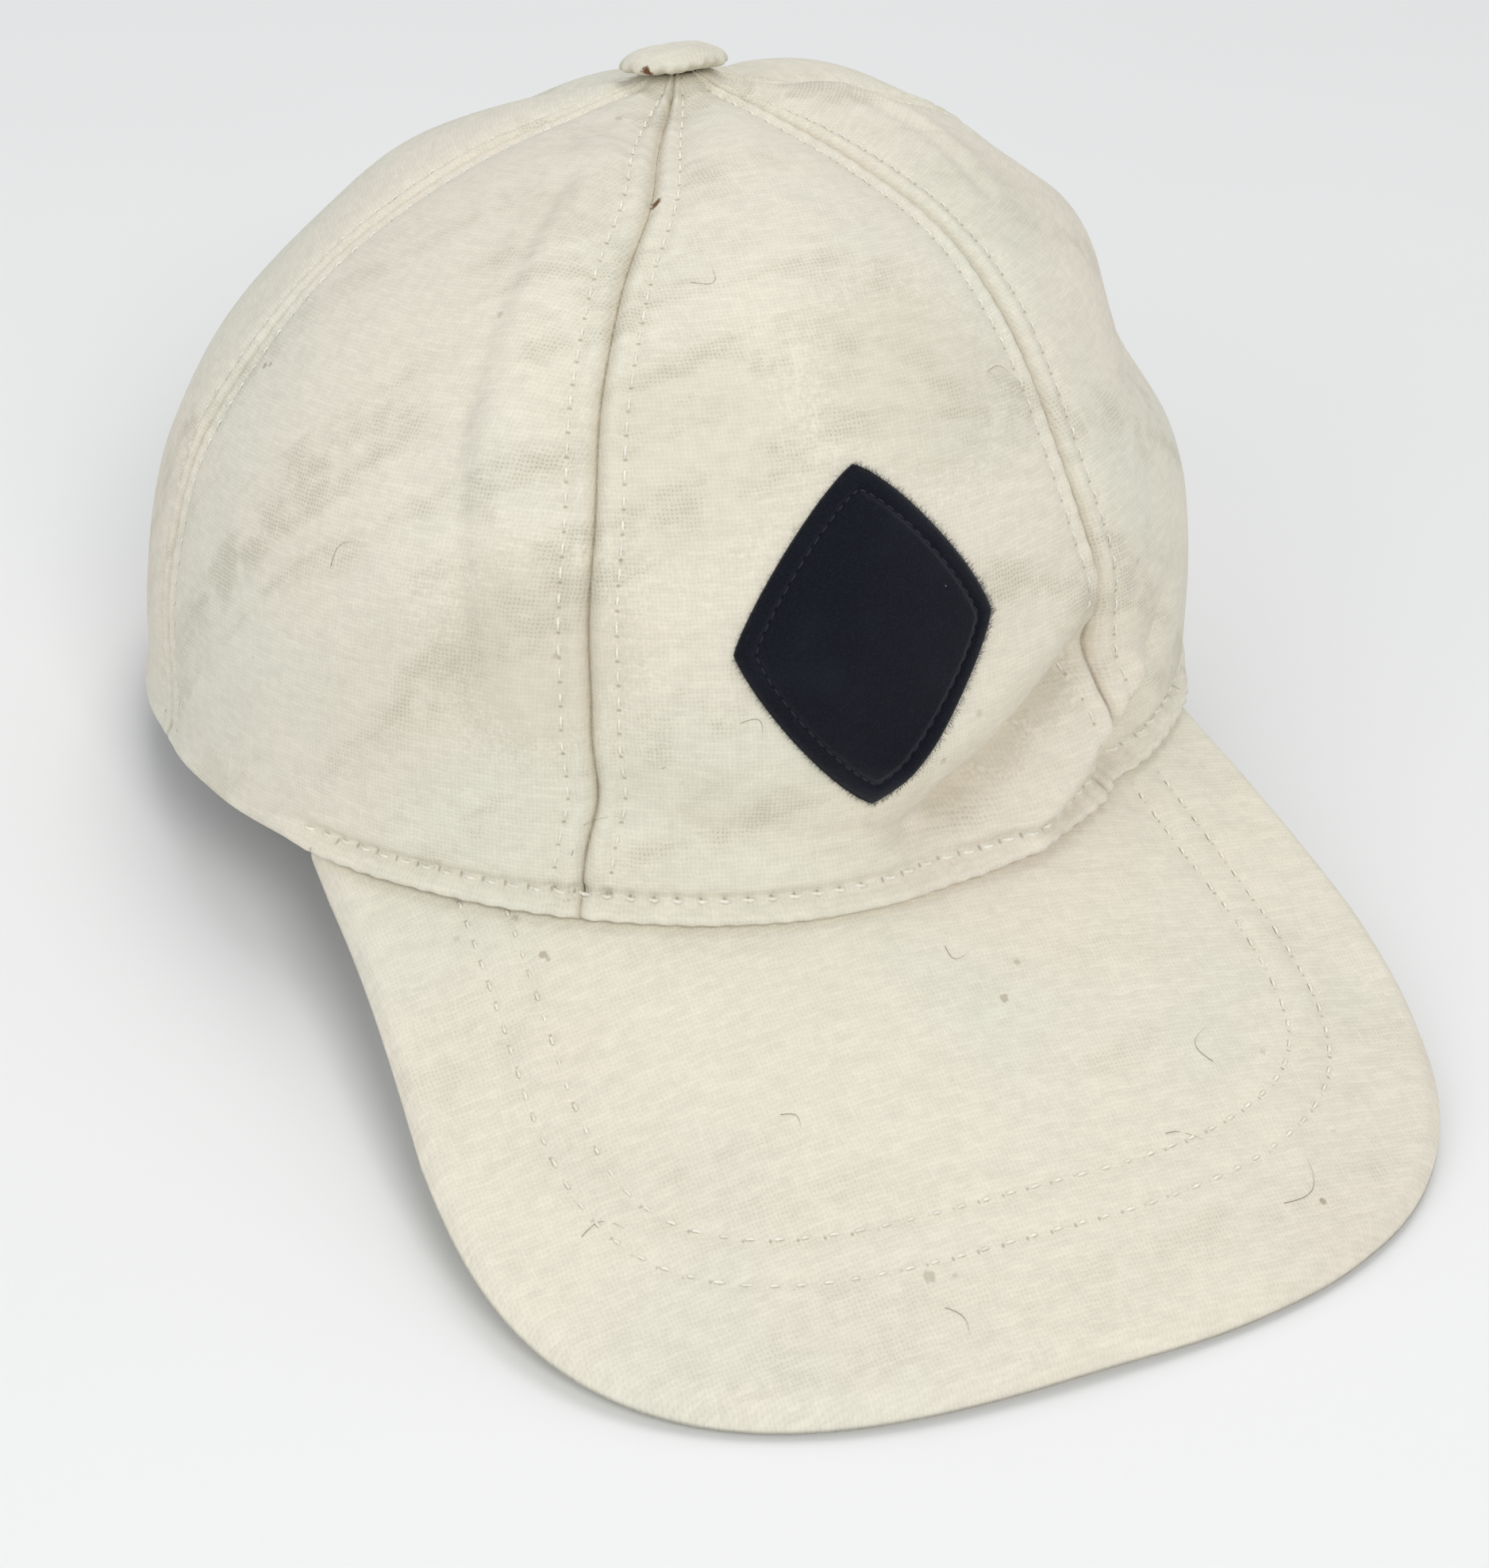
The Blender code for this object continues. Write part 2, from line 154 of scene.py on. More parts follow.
# Fine forms, each a mound: height, place of its middle, half width
SEAM_VALLEY = (-0.0016, 0.0, 0.0050)
SEAM_GROOVE = (-0.0006, 0.0, 0.0008)
SEAM_PUFF = (0.0009, 0.0022, 0.0015)
SEAM_PULL = (-0.0003, SEAM_ROW, 0.0009)
HEM_ROLL = (1.0, 0.0014, 0.0013)
HEM_PULL = (-0.0013, HEM_ROW + 0.0003, 0.0011)
PEAK_PUFF = (0.00018, sum(PEAK_ROWS) / 2, 0.0022)
PEAK_RIM = (0.0003, 0.0035, 0.0030)

# Threads, and how far each stitch arches over the cloth and its ends sink in
SEAM_THREAD = {"width": 0.00048, "arch": 0.00028, "sink": 0.00035}
HEM_THREAD = {"width": 0.00070, "arch": 0.00045, "sink": 0.00025}
PEAK_THREAD = {"width": 0.00052, "arch": 0.00030, "sink": 0.00012}
PATCH_THREAD = {"width": 0.00040, "arch": 0.00012, "sink": 0.00035}

# Noises: scale, detail, roughness
WOOL_STREAKS = (1.0, 4.0, 0.62)
WOOL_PATCHES = (130.0, 3.0, 0.6)
WOOL_TUFTS = (480.0, 3.0, 0.65)
WOOL_NAP = (2300.0, 3.0, 0.7)
FELT_FIBRES = (3400.0, 4.0, 0.75)
FELT_CLUMPS = (620.0, 3.0, 0.6)

# Camera: a pinhole fitted to the photograph in the cap's own frame, in the photograph's pixels
PHOTO_SIZE = (1876, 1975)
CAMERA_AZIMUTH = math.radians(-20.96)
CAMERA_ELEVATION = math.radians(23.53)
CAMERA_ROLL = math.radians(-2.75)
CAMERA_DISTANCE = 0.5353
FOCAL_PIXELS = 3687.1
CENTRE_PIXELS = (-101.31, -171.13)
LIGHT_TARGET = (0.0, 0.0, 0.05)

# Colours
CREAM = (0.800, 0.748, 0.625)
CREAM_WARM = (0.780, 0.715, 0.605)
CREAM_COOL = (0.745, 0.730, 0.615)
# Grey of worn and soiled cloth, also used as painted shade in the crown's dent and crease
GREY_SOIL_AND_SHADE = (0.520, 0.475, 0.365)
# Brown of dirt and painted shade in the seam grooves and the fold above the peak
SEAM_SOIL_AND_SHADE = (0.480, 0.410, 0.290)
PINHOLE_SHADE = (0.330, 0.295, 0.220)
FLECK_BROWN = (0.300, 0.245, 0.165)
HOLE_SHADE = (0.260, 0.215, 0.150)
RUST = (0.150, 0.058, 0.014)
LINT = (0.40, 0.40, 0.42)
NAVY_DEEP = (0.0035, 0.0042, 0.0080)
NAVY_FELT = (0.0085, 0.0100, 0.0175)
NAVY_PALE = (0.020, 0.023, 0.034)
THREAD_CREAM = (0.88, 0.85, 0.75)
THREAD_NAVY = (0.008, 0.010, 0.020)
HAIR_NAVY = (0.012, 0.014, 0.024)
HAIR_BROWN = (0.26, 0.20, 0.13)
NICKEL = (0.62, 0.61, 0.59)
NICKEL_WORN = (0.44, 0.43, 0.41)
PAPER_DARK = (0.86, 0.86, 0.85)
PAPER_LIGHT = (0.88, 0.88, 0.87)

# Broad swells and hollows of the crown: azimuths in degrees, levels as shares of the way up, and
# rises as shares of the rim's radius
SWELLS = [
    # azimuth, level, half_azimuth, half_height, rise
    (-118, 0.00, 36, 0.05, 0.014),
    (-115, 0.12, 50, 0.22, 0.005),
    (-126, 0.48, 46, 0.24, -0.042),
    (54, 0.18, 34, 0.15, 0.025),
    (64, 0.38, 24, 0.11, -0.05),
    (0, 0.24, 26, 0.16, 0.016),
    (-60, 0.36, 15, 0.26, -0.014),
    (-40, 0.62, 9, 0.2, 0.014),
    (180, 0.3, 50, 0.22, 0.012),
    (82, 0.57, 18, 0.08, 0.02),
    (112, 0.74, 26, 0.09, 0.028),
    (98, 0.05, 22, 0.16, -0.026),
    (-150, 0.88, 60, 0.07, -0.006),
    (-134, 0.68, 20, 0.08, 0.014),
    (112, 0.83, 14, 0.05, -0.01),
    (89, 0.68, 10, 0.05, 0.018),
    (80, 0.59, 8, 0.05, -0.018),
    (66, 0.34, 9, 0.05, -0.014),
    (73, 0.48, 8, 0.05, 0.01),
]

# Folds and creases along straight lines over the cloth, with half widths and rises as shares of the
# rim's radius. The first six are the solids' own, and the rest are finer.
FOLDS = [
    # from_azimuth, from_level, to_azimuth, to_level, half_width, rise
    (-25, 0.108, 6, 0.06, 0.075, -0.026),
    (6, 0.06, 28, 0.165, 0.07, -0.032),
    (-43, 0.78, -41, 0.45, 0.07, 0.018),
    (-41, 0.45, -35, 0.19, 0.065, 0.014),
    (47, 0.15, 33, 0.02, 0.055, -0.026),
    (70, 0.85, 46, 0.64, 0.06, 0.018),
    (-20, 0.09, 4, 0.055, 0.026, -0.013),
    (4, 0.055, 15.5, 0.087, 0.028, -0.017),
    (9, 0.076, 27, 0.16, 0.042, -0.056),
    (2, 0.135, 26, 0.235, 0.05, 0.012),
    (18, 0.028, 35, 0.11, 0.038, 0.03),
    (33, 0.03, 45, 0.14, 0.024, -0.022),
    (-47, 0.75, -45.5, 0.47, 0.022, -0.007),
    (-45.5, 0.47, -41, 0.24, 0.02, -0.006),
    (43, 0.11, 34, 0.02, 0.024, -0.008),
    (60, 0.8, 45, 0.64, 0.024, -0.011),
    (100, 0.86, 76, 0.74, 0.03, -0.01),
]

# Where a seam strays from its straight line: its number from the front round over the left, then
# the level and half height of the bow and how far it goes, in metres
SEAM_BOWS = [
    # seam, level, half_height, shift
    (5, 0.72, 0.09, 0.0019),
    (5, 0.22, 0.12, 0.0019),
    (5, 0.115, 0.045, 0.002),
    (5, 0.00, 0.05, -0.0012),
    (0, 0.42, 0.14, -0.0018),
]


def profile_table():
    """The crown's profile from rim to top.

    At each angle of a quarter turn the radius share is cos to WALL_POWER and the height share is
    sin to TOP_POWER; the level is the length of the profile so far over its whole length.
    """
    angle = np.linspace(0.0, math.pi / 2, 721)
    radius = np.cos(angle) ** WALL_POWER
    height = np.sin(angle) ** TOP_POWER
    steps = np.hypot(np.diff(radius * RIM_RADIUS), np.diff(height * CROWN_HEIGHT))
    length = np.concatenate([[0.0], np.cumsum(steps)])
    return length / length[-1], radius, height, length[-1]


LEVELS, RADIUS_SHARES, HEIGHT_SHARES, CLOTH_RISE = profile_table()
SEAM_STEP = 2 * math.pi / PANEL_COUNT


def bell(offset, half_width):
    """exp of minus the square of offset over half width."""
    return np.exp(-((offset / half_width) ** 2))


def mound(distance, form):
    """A bell of the distance from a middle, times a height: form is height, middle, half width."""
    height, middle, half_width = form
    return height * bell(distance - middle, half_width)


def radius_at(level):
    """The crown's radius at a level, read from the profile."""
    return RIM_RADIUS * np.interp(level, LEVELS, RADIUS_SHARES)


def level_at_radius(radius):
    """The level at which the crown has narrowed to a radius."""
    return float(np.interp(-radius / RIM_RADIUS, -RADIUS_SHARES, LEVELS))


def bare_crown(azimuth, level):
    """The crown without seams or folds.

    A turned profile whose top is shifted by the square of the height share. Its rim dips at the
    front by the square of the azimuth's cosine and rises at the sides by that of its sine, both
    less with the height. A small bell of the radius lifts the cloth under the button.
    """
    radius = radius_at(level)
    height = np.interp(level, LEVELS, HEIGHT_SHARES)
    dip = FRONT_DIP * np.maximum(np.cos(azimuth), 0.0) ** 2 - SIDE_RISE * np.sin(azimuth) ** 2
    nub = TOP_NUB * bell(radius, TOP_NUB_RADIUS)
    return np.stack([
        radius * np.sin(azimuth) + TOP_SIDEWAYS * height**2,
        -radius * np.cos(azimuth) - TOP_FORWARD * height**2,
        CROWN_HEIGHT * height - dip * (1.0 - height) + nub,
    ], axis=-1)


def unit(vectors):
    """Vectors divided by their lengths."""
    return vectors / np.maximum(np.linalg.norm(vectors, axis=-1, keepdims=True), 1e-12)


def outward(azimuth, level):
    """Unit normals of the bare crown: the cross product of its slopes across and along."""
    small = 1e-3
    low = np.clip(level - small, 0.0, 1.0)
    high = np.clip(level + small, 0.0, 1.0)
    across = bare_crown(azimuth + small, level) - bare_crown(azimuth - small, level)
    along = bare_crown(azimuth, high) - bare_crown(azimuth, low)
    return unit(np.cross(across, along))


def wrapped(angle):
    """An angle brought to half a turn each way."""
    return (angle + math.pi) % (2 * math.pi) - math.pi


def swell_relief(azimuth, level):
    """Sum of soft bells of the azimuth and level, each exp of minus both squared distances."""
    total = np.zeros_like(level)
    for centre, middle, half_azimuth, half_height, rise in SWELLS:
        turn = wrapped(azimuth - math.radians(centre)) / math.radians(half_azimuth)
        climb = (level - middle) / half_height
        total = total + rise * RIM_RADIUS * np.exp(-(turn**2) - climb**2)
    return total


def fold_relief(azimuth, level):
    """Sum of ridges: a bell of the distance over the cloth to each fold's line, times its rise."""
    total = np.zeros_like(level)
    reach = radius_at(level)
    for from_azimuth, from_level, to_azimuth, to_level, half_width, rise in FOLDS:
        across = reach * wrapped(azimuth - math.radians(from_azimuth))
        along = CLOTH_RISE * (level - from_level)
        run_across = reach * math.radians(to_azimuth - from_azimuth)
        run_along = CLOTH_RISE * (to_level - from_level)
        share = (across * run_across + along * run_along) / (run_across**2 + run_along**2)
        share = np.clip(share, 0.0, 1.0)
        distance = np.hypot(across - share * run_across, along - share * run_along)
        total = total + rise * RIM_RADIUS * bell(distance, half_width * RIM_RADIUS)
    return total


def broad_relief(azimuth, level):
    """The crown's broad form: the puff of each panel, a squared sine, and the swells and folds."""
    across = (azimuth % SEAM_STEP) / SEAM_STEP - 0.5
    puff = PANEL_PUFF * np.sin(math.pi * across) ** 2
    return puff + swell_relief(azimuth, level) + fold_relief(azimuth, level)


def rest_place():
    """The rest's turn and the point of the cap's frame that it turns about.

    The turn tips the cap back by REST_TILT; the point is the rim's back, BACK_SAG above its edge.
    """
    back = np.array([math.pi]), np.zeros(1)
    hinge = (bare_crown(*back) + outward(*back) * broad_relief(*back)[:, None])[0]
    hinge = hinge + [0.0, 0.0, BACK_SAG]
    hinge[0] = 0.0
    cos, sin = math.cos(REST_TILT), math.sin(REST_TILT)
    return np.array([[1.0, 0.0, 0.0], [0.0, cos, sin], [0.0, -sin, cos]]), hinge


REST_TURN, REST_HINGE = rest_place()
FLOOR_UP = REST_TURN[2]


def seam_azimuth(index, level):
    """Where seam number index lies: half a panel past the panel's centre.

    It wanders by the sines of the level in SEAM_WAVES, each a share, a number of turns and a phase
    step from seam to seam, and bows by the bells of SEAM_BOWS.
    """
    seam = index % PANEL_COUNT
    wander = sum(share * np.sin(turns * 2 * math.pi * level + step * seam)
                 for share, turns, step in SEAM_WAVES)
    shift = SEAM_WANDER * wander * radius_at(level) / RIM_RADIUS
    for bowed, middle, half_height, bow in SEAM_BOWS:
        shift = shift + np.where(seam == bowed, bow, 0.0) * bell(level - middle, half_height)
    return (index + 0.5) * SEAM_STEP + shift / np.maximum(radius_at(level), TOP_HOLE_RADIUS)


def seam_distance(azimuth, level):
    """Distance over the cloth to the nearest seam, below zero on its right hand side."""
    index = np.floor(azimuth / SEAM_STEP)
    return radius_at(level) * (azimuth - seam_azimuth(index, level))


def row_narrowing(level):
    """The share of their full distance that the stitch rows keep from the seam, less at the top."""
    return 1.0 - np.exp(-radius_at(level) / ROW_NARROWING_RADIUS)


def seam_relief(azimuth, level):
    """The sewn seam, by distance from it: four mounds.

    A broad valley and a narrow groove at the seam, the puff of the pressed allowance at half the
    row's distance, and the pull of the stitches at the row, both waved once for each stitch. All
    fade by a bell of the rise where the hem runs on over the seam.
    """
    plain = np.abs(seam_distance(azimuth, level))
    distance = plain / row_narrowing(level)
    pucker = np.cos(2 * math.pi * level * CLOTH_RISE / STITCH)
    puff = mound(distance, SEAM_PUFF) * (1.0 - 0.10 * pucker)
    pull = mound(distance, SEAM_PULL) * (1.0 + 0.45 * pucker)
    over_hem = 1.0 - 0.93 * bell(level * CLOTH_RISE, HEM_OVER_SEAM)
    return (mound(plain, SEAM_VALLEY) + mound(distance, SEAM_GROOVE) + puff + pull) * over_hem


def over_peak(azimuth):
    """1 over the peak and 0 behind it: a logistic step of the azimuth past each end of the peak."""
    aside = np.abs(wrapped(azimuth - math.radians(PEAK_ROOT_TURN)))
    past = aside - math.radians(PEAK_END_AZIMUTH + HEM_SEWN_TO)
    return 1.0 / (1.0 + np.exp(np.clip(past / math.radians(HEM_SEWN_FADE), -30.0, 30.0)))


def hem_relief(azimuth, rise):
    """The hem: a slight roll, and over the peak a full one whose stitches pull it in.

    The roll is a mound of the rise below the stitch row, the pull one at the row, and both are
    waved once for each stitch.
    """
    sewn = over_peak(azimuth)
    pucker = np.cos(azimuth * RIM_RADIUS * 2 * math.pi / STITCH)
    roll = (0.0005 + 0.0015 * sewn) * mound(rise, HEM_ROLL) * (1.0 - 0.14 * sewn * pucker)
    pull = sewn * mound(rise, HEM_PULL) * (1.0 + 0.35 * pucker)
    return roll + pull


def cloth_waves(points, shortest=0.012, longest=0.045):
    """Slight unevenness of worn cloth: a sum of sines in turned directions.

    Each has a wavelength between shortest and longest, an amplitude that is WAVE_SHARE of it, and a
    direction and phase from a seeded draw.
    """
    draw = np.random.default_rng(11)
    total = np.zeros(points.shape[:-1])
    for length in np.geomspace(shortest, longest, WAVE_COUNT):
        direction = unit(draw.normal(size=3))
        phase = draw.uniform(0.0, 2 * math.pi)
        wave = np.sin(points @ direction * 2 * math.pi / length + phase)
        total = total + WAVE_SHARE * length * wave
    return total / math.sqrt(WAVE_COUNT)


def crown_surface(azimuth, level, depth=0.0):
    """The crown's outer face, or a face at a depth below it.

    The bare crown moved along its normal by the panels' puff, the swells and folds, the seams and
    hem and the cloth's waves, all of which fade out under the button.
    """
    points = bare_crown(azimuth, level)
    radius = radius_at(level)
    broad_fade = np.clip(radius / (RIM_RADIUS * SMOOTH_TOP_SHARE), 0.0, 1.0) ** 2
    fine_fade = np.clip(radius / BUTTON_RADIUS, 0.0, 1.0) ** 2
    rise = level * CLOTH_RISE
    fine = seam_relief(azimuth, level) + hem_relief(azimuth, rise) + cloth_waves(points)
    # The sewn cloth lies a little inside the plain solids, but for its hem
    fine = fine - DRAWN_IN * (1.0 - bell(rise, DRAWN_IN_ABOVE))
    relief = broad_relief(azimuth, level) * broad_fade + fine * fine_fade - depth
    points = points + outward(azimuth, level) * relief[..., None]
    return points + rim_lift(azimuth, level)[..., None] * FLOOR_UP


def rim_lift(azimuth, level):
    """How far the floor holds up the rim where it would sink in, fading over the cloth above it.

    The depth of the rim under the floor, times exp of minus the squared rise over SETTLE_RISE.
    """
    low = np.zeros_like(level)
    rim = bare_crown(azimuth, low) + outward(azimuth, low) * RIM_SWELL
    above = (rim - REST_HINGE) @ FLOOR_UP
    return np.maximum(RIM_CLEARANCE - above, 0.0) * bell(level * CLOTH_RISE, SETTLE_RISE)


def peak_outline(hand):
    """Half of the peak's plan from its tip round to its end on the rim: share, sideways, forward.

    The front is a quarter of a superellipse; the side runs on to the rim, drawn in by its share to
    PEAK_SIDE_POWER. hand is 1 for the wearer's left half and -1 for the right one.
    """
    tip = RIM_RADIUS + PEAK_LENGTH
    widest = RIM_RADIUS + PEAK_WIDEST_AHEAD
    end = math.radians(PEAK_END_AZIMUTH + hand * PEAK_ROOT_TURN)
    turn = np.linspace(0.0, math.pi / 2, 400)
    corner_side = PEAK_HALF_WIDTH * np.sin(turn) ** (2 / PEAK_CORNER_POWER)
    corner_ahead = widest + (tip - widest) * np.cos(turn) ** (2 / PEAK_CORNER_POWER)
    share = np.linspace(0.0, 1.0, 120)[1:]
    narrowed = PEAK_HALF_WIDTH - RIM_RADIUS * math.sin(end)
    edge_side = PEAK_HALF_WIDTH - narrowed * share**PEAK_SIDE_POWER
    edge_ahead = widest + (RIM_RADIUS * math.cos(end) - widest) * share
    ahead = np.concatenate([corner_ahead, edge_ahead])
    lean = PEAK_LEAN * (corner_ahead - widest)
    draw = PEAK_SIDE_DRAW * np.sin(math.pi * share)
    sideways = np.concatenate([corner_side * hand + lean, (edge_side - draw) * hand])
    length = np.concatenate([[0.0], np.cumsum(np.hypot(np.diff(sideways), np.diff(ahead)))])
    return length / length[-1], sideways, ahead


RIGHT_OUTLINE, LEFT_OUTLINE = peak_outline(-1), peak_outline(1)


def peak_edge(side):
    """Where the ray of each side ends on the peak's outline: x and y."""
    target = np.abs(side) * PEAK_LAST_RAY
    right, left = [
        [np.interp(target, share, along) for along in (sideways, -ahead)]
        for share, sideways, ahead in (RIGHT_OUTLINE, LEFT_OUTLINE)
    ]
    return [np.where(side < 0, on_right, on_left) for on_right, on_left in zip(right, left)]


def rim_foot(side):
    """Where each side's ray starts, ROOT_INSET inside the rim's outer face, and its azimuth."""
    azimuth = np.radians(PEAK_END_AZIMUTH * side + PEAK_ROOT_TURN * side**2)
    level = np.zeros_like(azimuth)
    relief = broad_relief(azimuth, level) - ROOT_INSET
    return bare_crown(azimuth, level) + outward(azimuth, level) * relief[..., None], azimuth


def peak_plain(side, reach):
    """The peak's top face, without the fine form that its sewing gives it.

    A straight ray from the rim's foot to the outline, falling with a slope that goes from
    PEAK_FRONT_SLOPE to PEAK_SIDE_SLOPE with the square of side; a reach below zero is tucked in,
    and at its root the cloth is pressed up into the rim's fold by ROOT_PRESS.
    """
    edge_x, edge_y = peak_edge(side)
    foot, azimuth = rim_foot(side)
    run = np.hypot(edge_x - foot[..., 0], edge_y - foot[..., 1])
    slope = np.radians(PEAK_FRONT_SLOPE + (PEAK_SIDE_SLOPE - PEAK_FRONT_SLOPE) * side**2)
    out = np.clip(reach, 0.0, 1.0)
    tucked = np.clip(-reach, 0.0, 1.0) * (2 * FOLD_RADIUS - FIT_GAP)
    pressed = ROOT_PRESS * np.exp(-run * out / ROOT_PRESS_LENGTH)
    return np.stack([
        foot[..., 0] + (edge_x - foot[..., 0]) * out - tucked * np.sin(azimuth),
        foot[..., 1] + (edge_y - foot[..., 1]) * out + tucked * np.cos(azimuth),
        foot[..., 2] - FIT_GAP - (run * out - ROOT_INSET) * np.tan(slope) + pressed,
    ], axis=-1)


def nearest_on_line(points, line):
    """The least distance in plan from each point to a line, over all its segments, and the place.

    The place is counted in segments along the line.
    """
    flat = points.reshape(-1, 1, 2)
    start, step = line[:-1][None], (line[1:] - line[:-1])[None]
    share = np.clip(((flat - start) * step).sum(-1) / (step**2).sum(-1), 0.0, 1.0)
    distance = np.sqrt(((flat - start - step * share[..., None]) ** 2).sum(-1))
    best = distance.argmin(axis=1)[:, None]
    place = best + np.take_along_axis(share, best, axis=1)
    least = np.take_along_axis(distance, best, axis=1)
    return least.reshape(points.shape[:-1]), place.reshape(points.shape[:-1])


def peak_sides():
    """The sides of the covers' rays, crowded towards both ends by a sine."""
    side = np.linspace(-1.0, 1.0, PEAK_COLUMNS)
    return 0.6 * side + 0.4 * np.sin(side * math.pi / 2)


def peak_border():
    """The peak's free edge in plan: up its right end ray, round the outline, down its left one.

    It has the corners of the covers' own edge. At both ends it starts inside the rim, where the
    covers are tucked in.
    """
    edge = np.stack(peak_edge(peak_sides()), axis=-1)
    tucked = peak_plain(np.array([-1.0, 1.0]), np.full(2, -1.0))[:, :2]
    foot = rim_foot(np.array([-1.0, 1.0]))[0][:, :2]
    return np.concatenate([tucked[:1], foot[:1], edge, foot[1:], tucked[1:]])


PEAK_BORDER = peak_border()


def stitch_row(inset):
    """A stitch row of the peak at a distance inside its edge: sides, reaches and lengths so far.

    Along each ray the distance to the edge is tabled, and the reach at which it equals the inset
    is read from the table. Rays that never come that far inside are left out.
    """
    side = np.linspace(-0.80, 0.80, 161)
    reach = np.linspace(0.0, 1.0, 41)
    grid_side, grid_reach = np.meshgrid(side, reach, indexing="ij")
    distance = nearest_on_line(peak_plain(grid_side, grid_reach)[..., :2], PEAK_BORDER)[0]
    kept = distance[:, 0] > inset
    side, distance = side[kept], distance[kept]
    at = np.array([np.interp(-inset, -row, reach) for row in distance])
    points = peak_plain(side, at)
    steps = np.linalg.norm(np.diff(points, axis=0), axis=-1)
    return side, at, np.concatenate([[0.0], np.cumsum(steps)])


ROWS_ON_PEAK = [stitch_row(inset) for inset in PEAK_ROWS]


def peak_relief(points, side, distance):
    """The peak's fine form, by distance from its edge.

    A mound for the pull of each stitch row, one for the puff between them and one near the edge,
    and slight waves.
    """
    total = 0.35 * cloth_waves(points, shortest=0.018, longest=0.06)
    for inset, (row_side, _, length) in zip(PEAK_ROWS, ROWS_ON_PEAK):
        pucker = np.cos(np.interp(side, row_side, length) * 2 * math.pi / PEAK_STITCH)
        total = total + mound(distance, (-0.0003, inset, 0.0009)) * (1.0 + 0.5 * pucker)
    return total + mound(distance, PEAK_PUFF) + mound(distance, PEAK_RIM)


def peak_normal(side, reach):
    """Unit normals of the peak's top face, pointing up.

    The cross product of its slopes across and along; at its corners, where a ray runs beside the
    outline, it is taken a little further in.
    """
    small = 2e-3
    side, reach = np.clip(side, -0.96, 0.96), np.minimum(reach, 0.97)
    across = peak_plain(side + small, reach) - peak_plain(side - small, reach)
    low = np.where(reach < small, 0.0, reach - small)
    high = np.where(reach < small, 2 * small, reach + small)
    along = peak_plain(side, high) - peak_plain(side, low)
    return unit(np.cross(along, across))


def edge_drop(distance):
    """How far the rolled edge falls: its depth times what is left of its width to a power."""
    left = np.clip(1.0 - distance / PEAK_EDGE_WIDTH, 0.0, 1.0)
    return PEAK_EDGE_DEPTH * left**PEAK_EDGE_POWER


def peak_surface(side, reach, below=0.0):
    """A point on the peak's top face; with below, a point so far under it."""
    points = peak_plain(side, reach)
    distance = nearest_on_line(points[..., :2], PEAK_BORDER)[0]
    relief = peak_relief(points, side, distance) - below
    return points + peak_normal(side, reach) * relief[..., None]


def laid_down(points):
    """Points of the cap's own frame put where it rests: tipped back about the back of its rim."""
    placed = (points - REST_HINGE) @ REST_TURN.T + np.array([*BOX_CENTRE, 0.0])
    placed[..., 2] = np.maximum(placed[..., 2], 0.0)
    return placed


def grid_quads(columns, rows, closed=False, flipped=False):
    """Quads of a grid whose corners are numbered row after row; closed joins the last column."""
    i, j = np.meshgrid(np.arange(columns if closed else columns - 1), np.arange(rows - 1))
    below, right = j * columns, (i + 1) % columns
    above = below + columns
    quads = np.stack([below + i, below + right, above + right, above + i], -1).reshape(-1, 4)
    return quads[:, ::-1] if flipped else quads


def closed_grid(columns, rows, flipped=False):
    """Quads of two like grids, an outer and an inner one, and the strip that joins their edges."""
    count = columns * rows
    place = np.arange(count).reshape(rows, columns)
    edge = np.concatenate([place[0, :-1], place[:-1, -1], place[-1, :0:-1], place[:0:-1, 0]])
    ahead = np.roll(edge, -1)
    strip = np.stack([ahead, edge, edge + count, ahead + count], -1)
    strip = strip[:, ::-1] if flipped else strip
    outer = grid_quads(columns, rows, flipped=flipped)
    return np.concatenate([outer, outer[:, ::-1] + count, strip])


def linked(name, data):
    """A new object in the scene."""
    made = bpy.data.objects.new(name, data)
    bpy.context.scene.collection.objects.link(made)
    return made


def finished_piece(name, points, faces, finish, maps=None):
    """A smooth mesh object with flat maps and one finish, on the root body."""
    mesh = bpy.data.meshes.new(name)
    mesh.from_pydata(points.reshape(-1, 3).tolist(), [], [list(face) for face in faces])
    corners = np.zeros(len(mesh.loops), dtype=np.int64)
    mesh.loops.foreach_get("vertex_index", corners)
    for map_name, places in (maps or {}).items():
        layer = mesh.uv_layers.new(name=map_name)
        layer.uv.foreach_set("vector", places.reshape(-1, 2)[corners].astype(np.float32).ravel())
    mesh.materials.append(finish)
    mesh.shade_smooth()
    piece = linked(name, mesh)
    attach(piece, "root")
    return piece


def walled(piece, thickness):
    """Give a cloth surface its thickness, inwards from its outer face."""
    wall = piece.modifiers.new("cloth", "SOLIDIFY")
    wall.thickness = thickness
    wall.offset = -1.0
    return piece


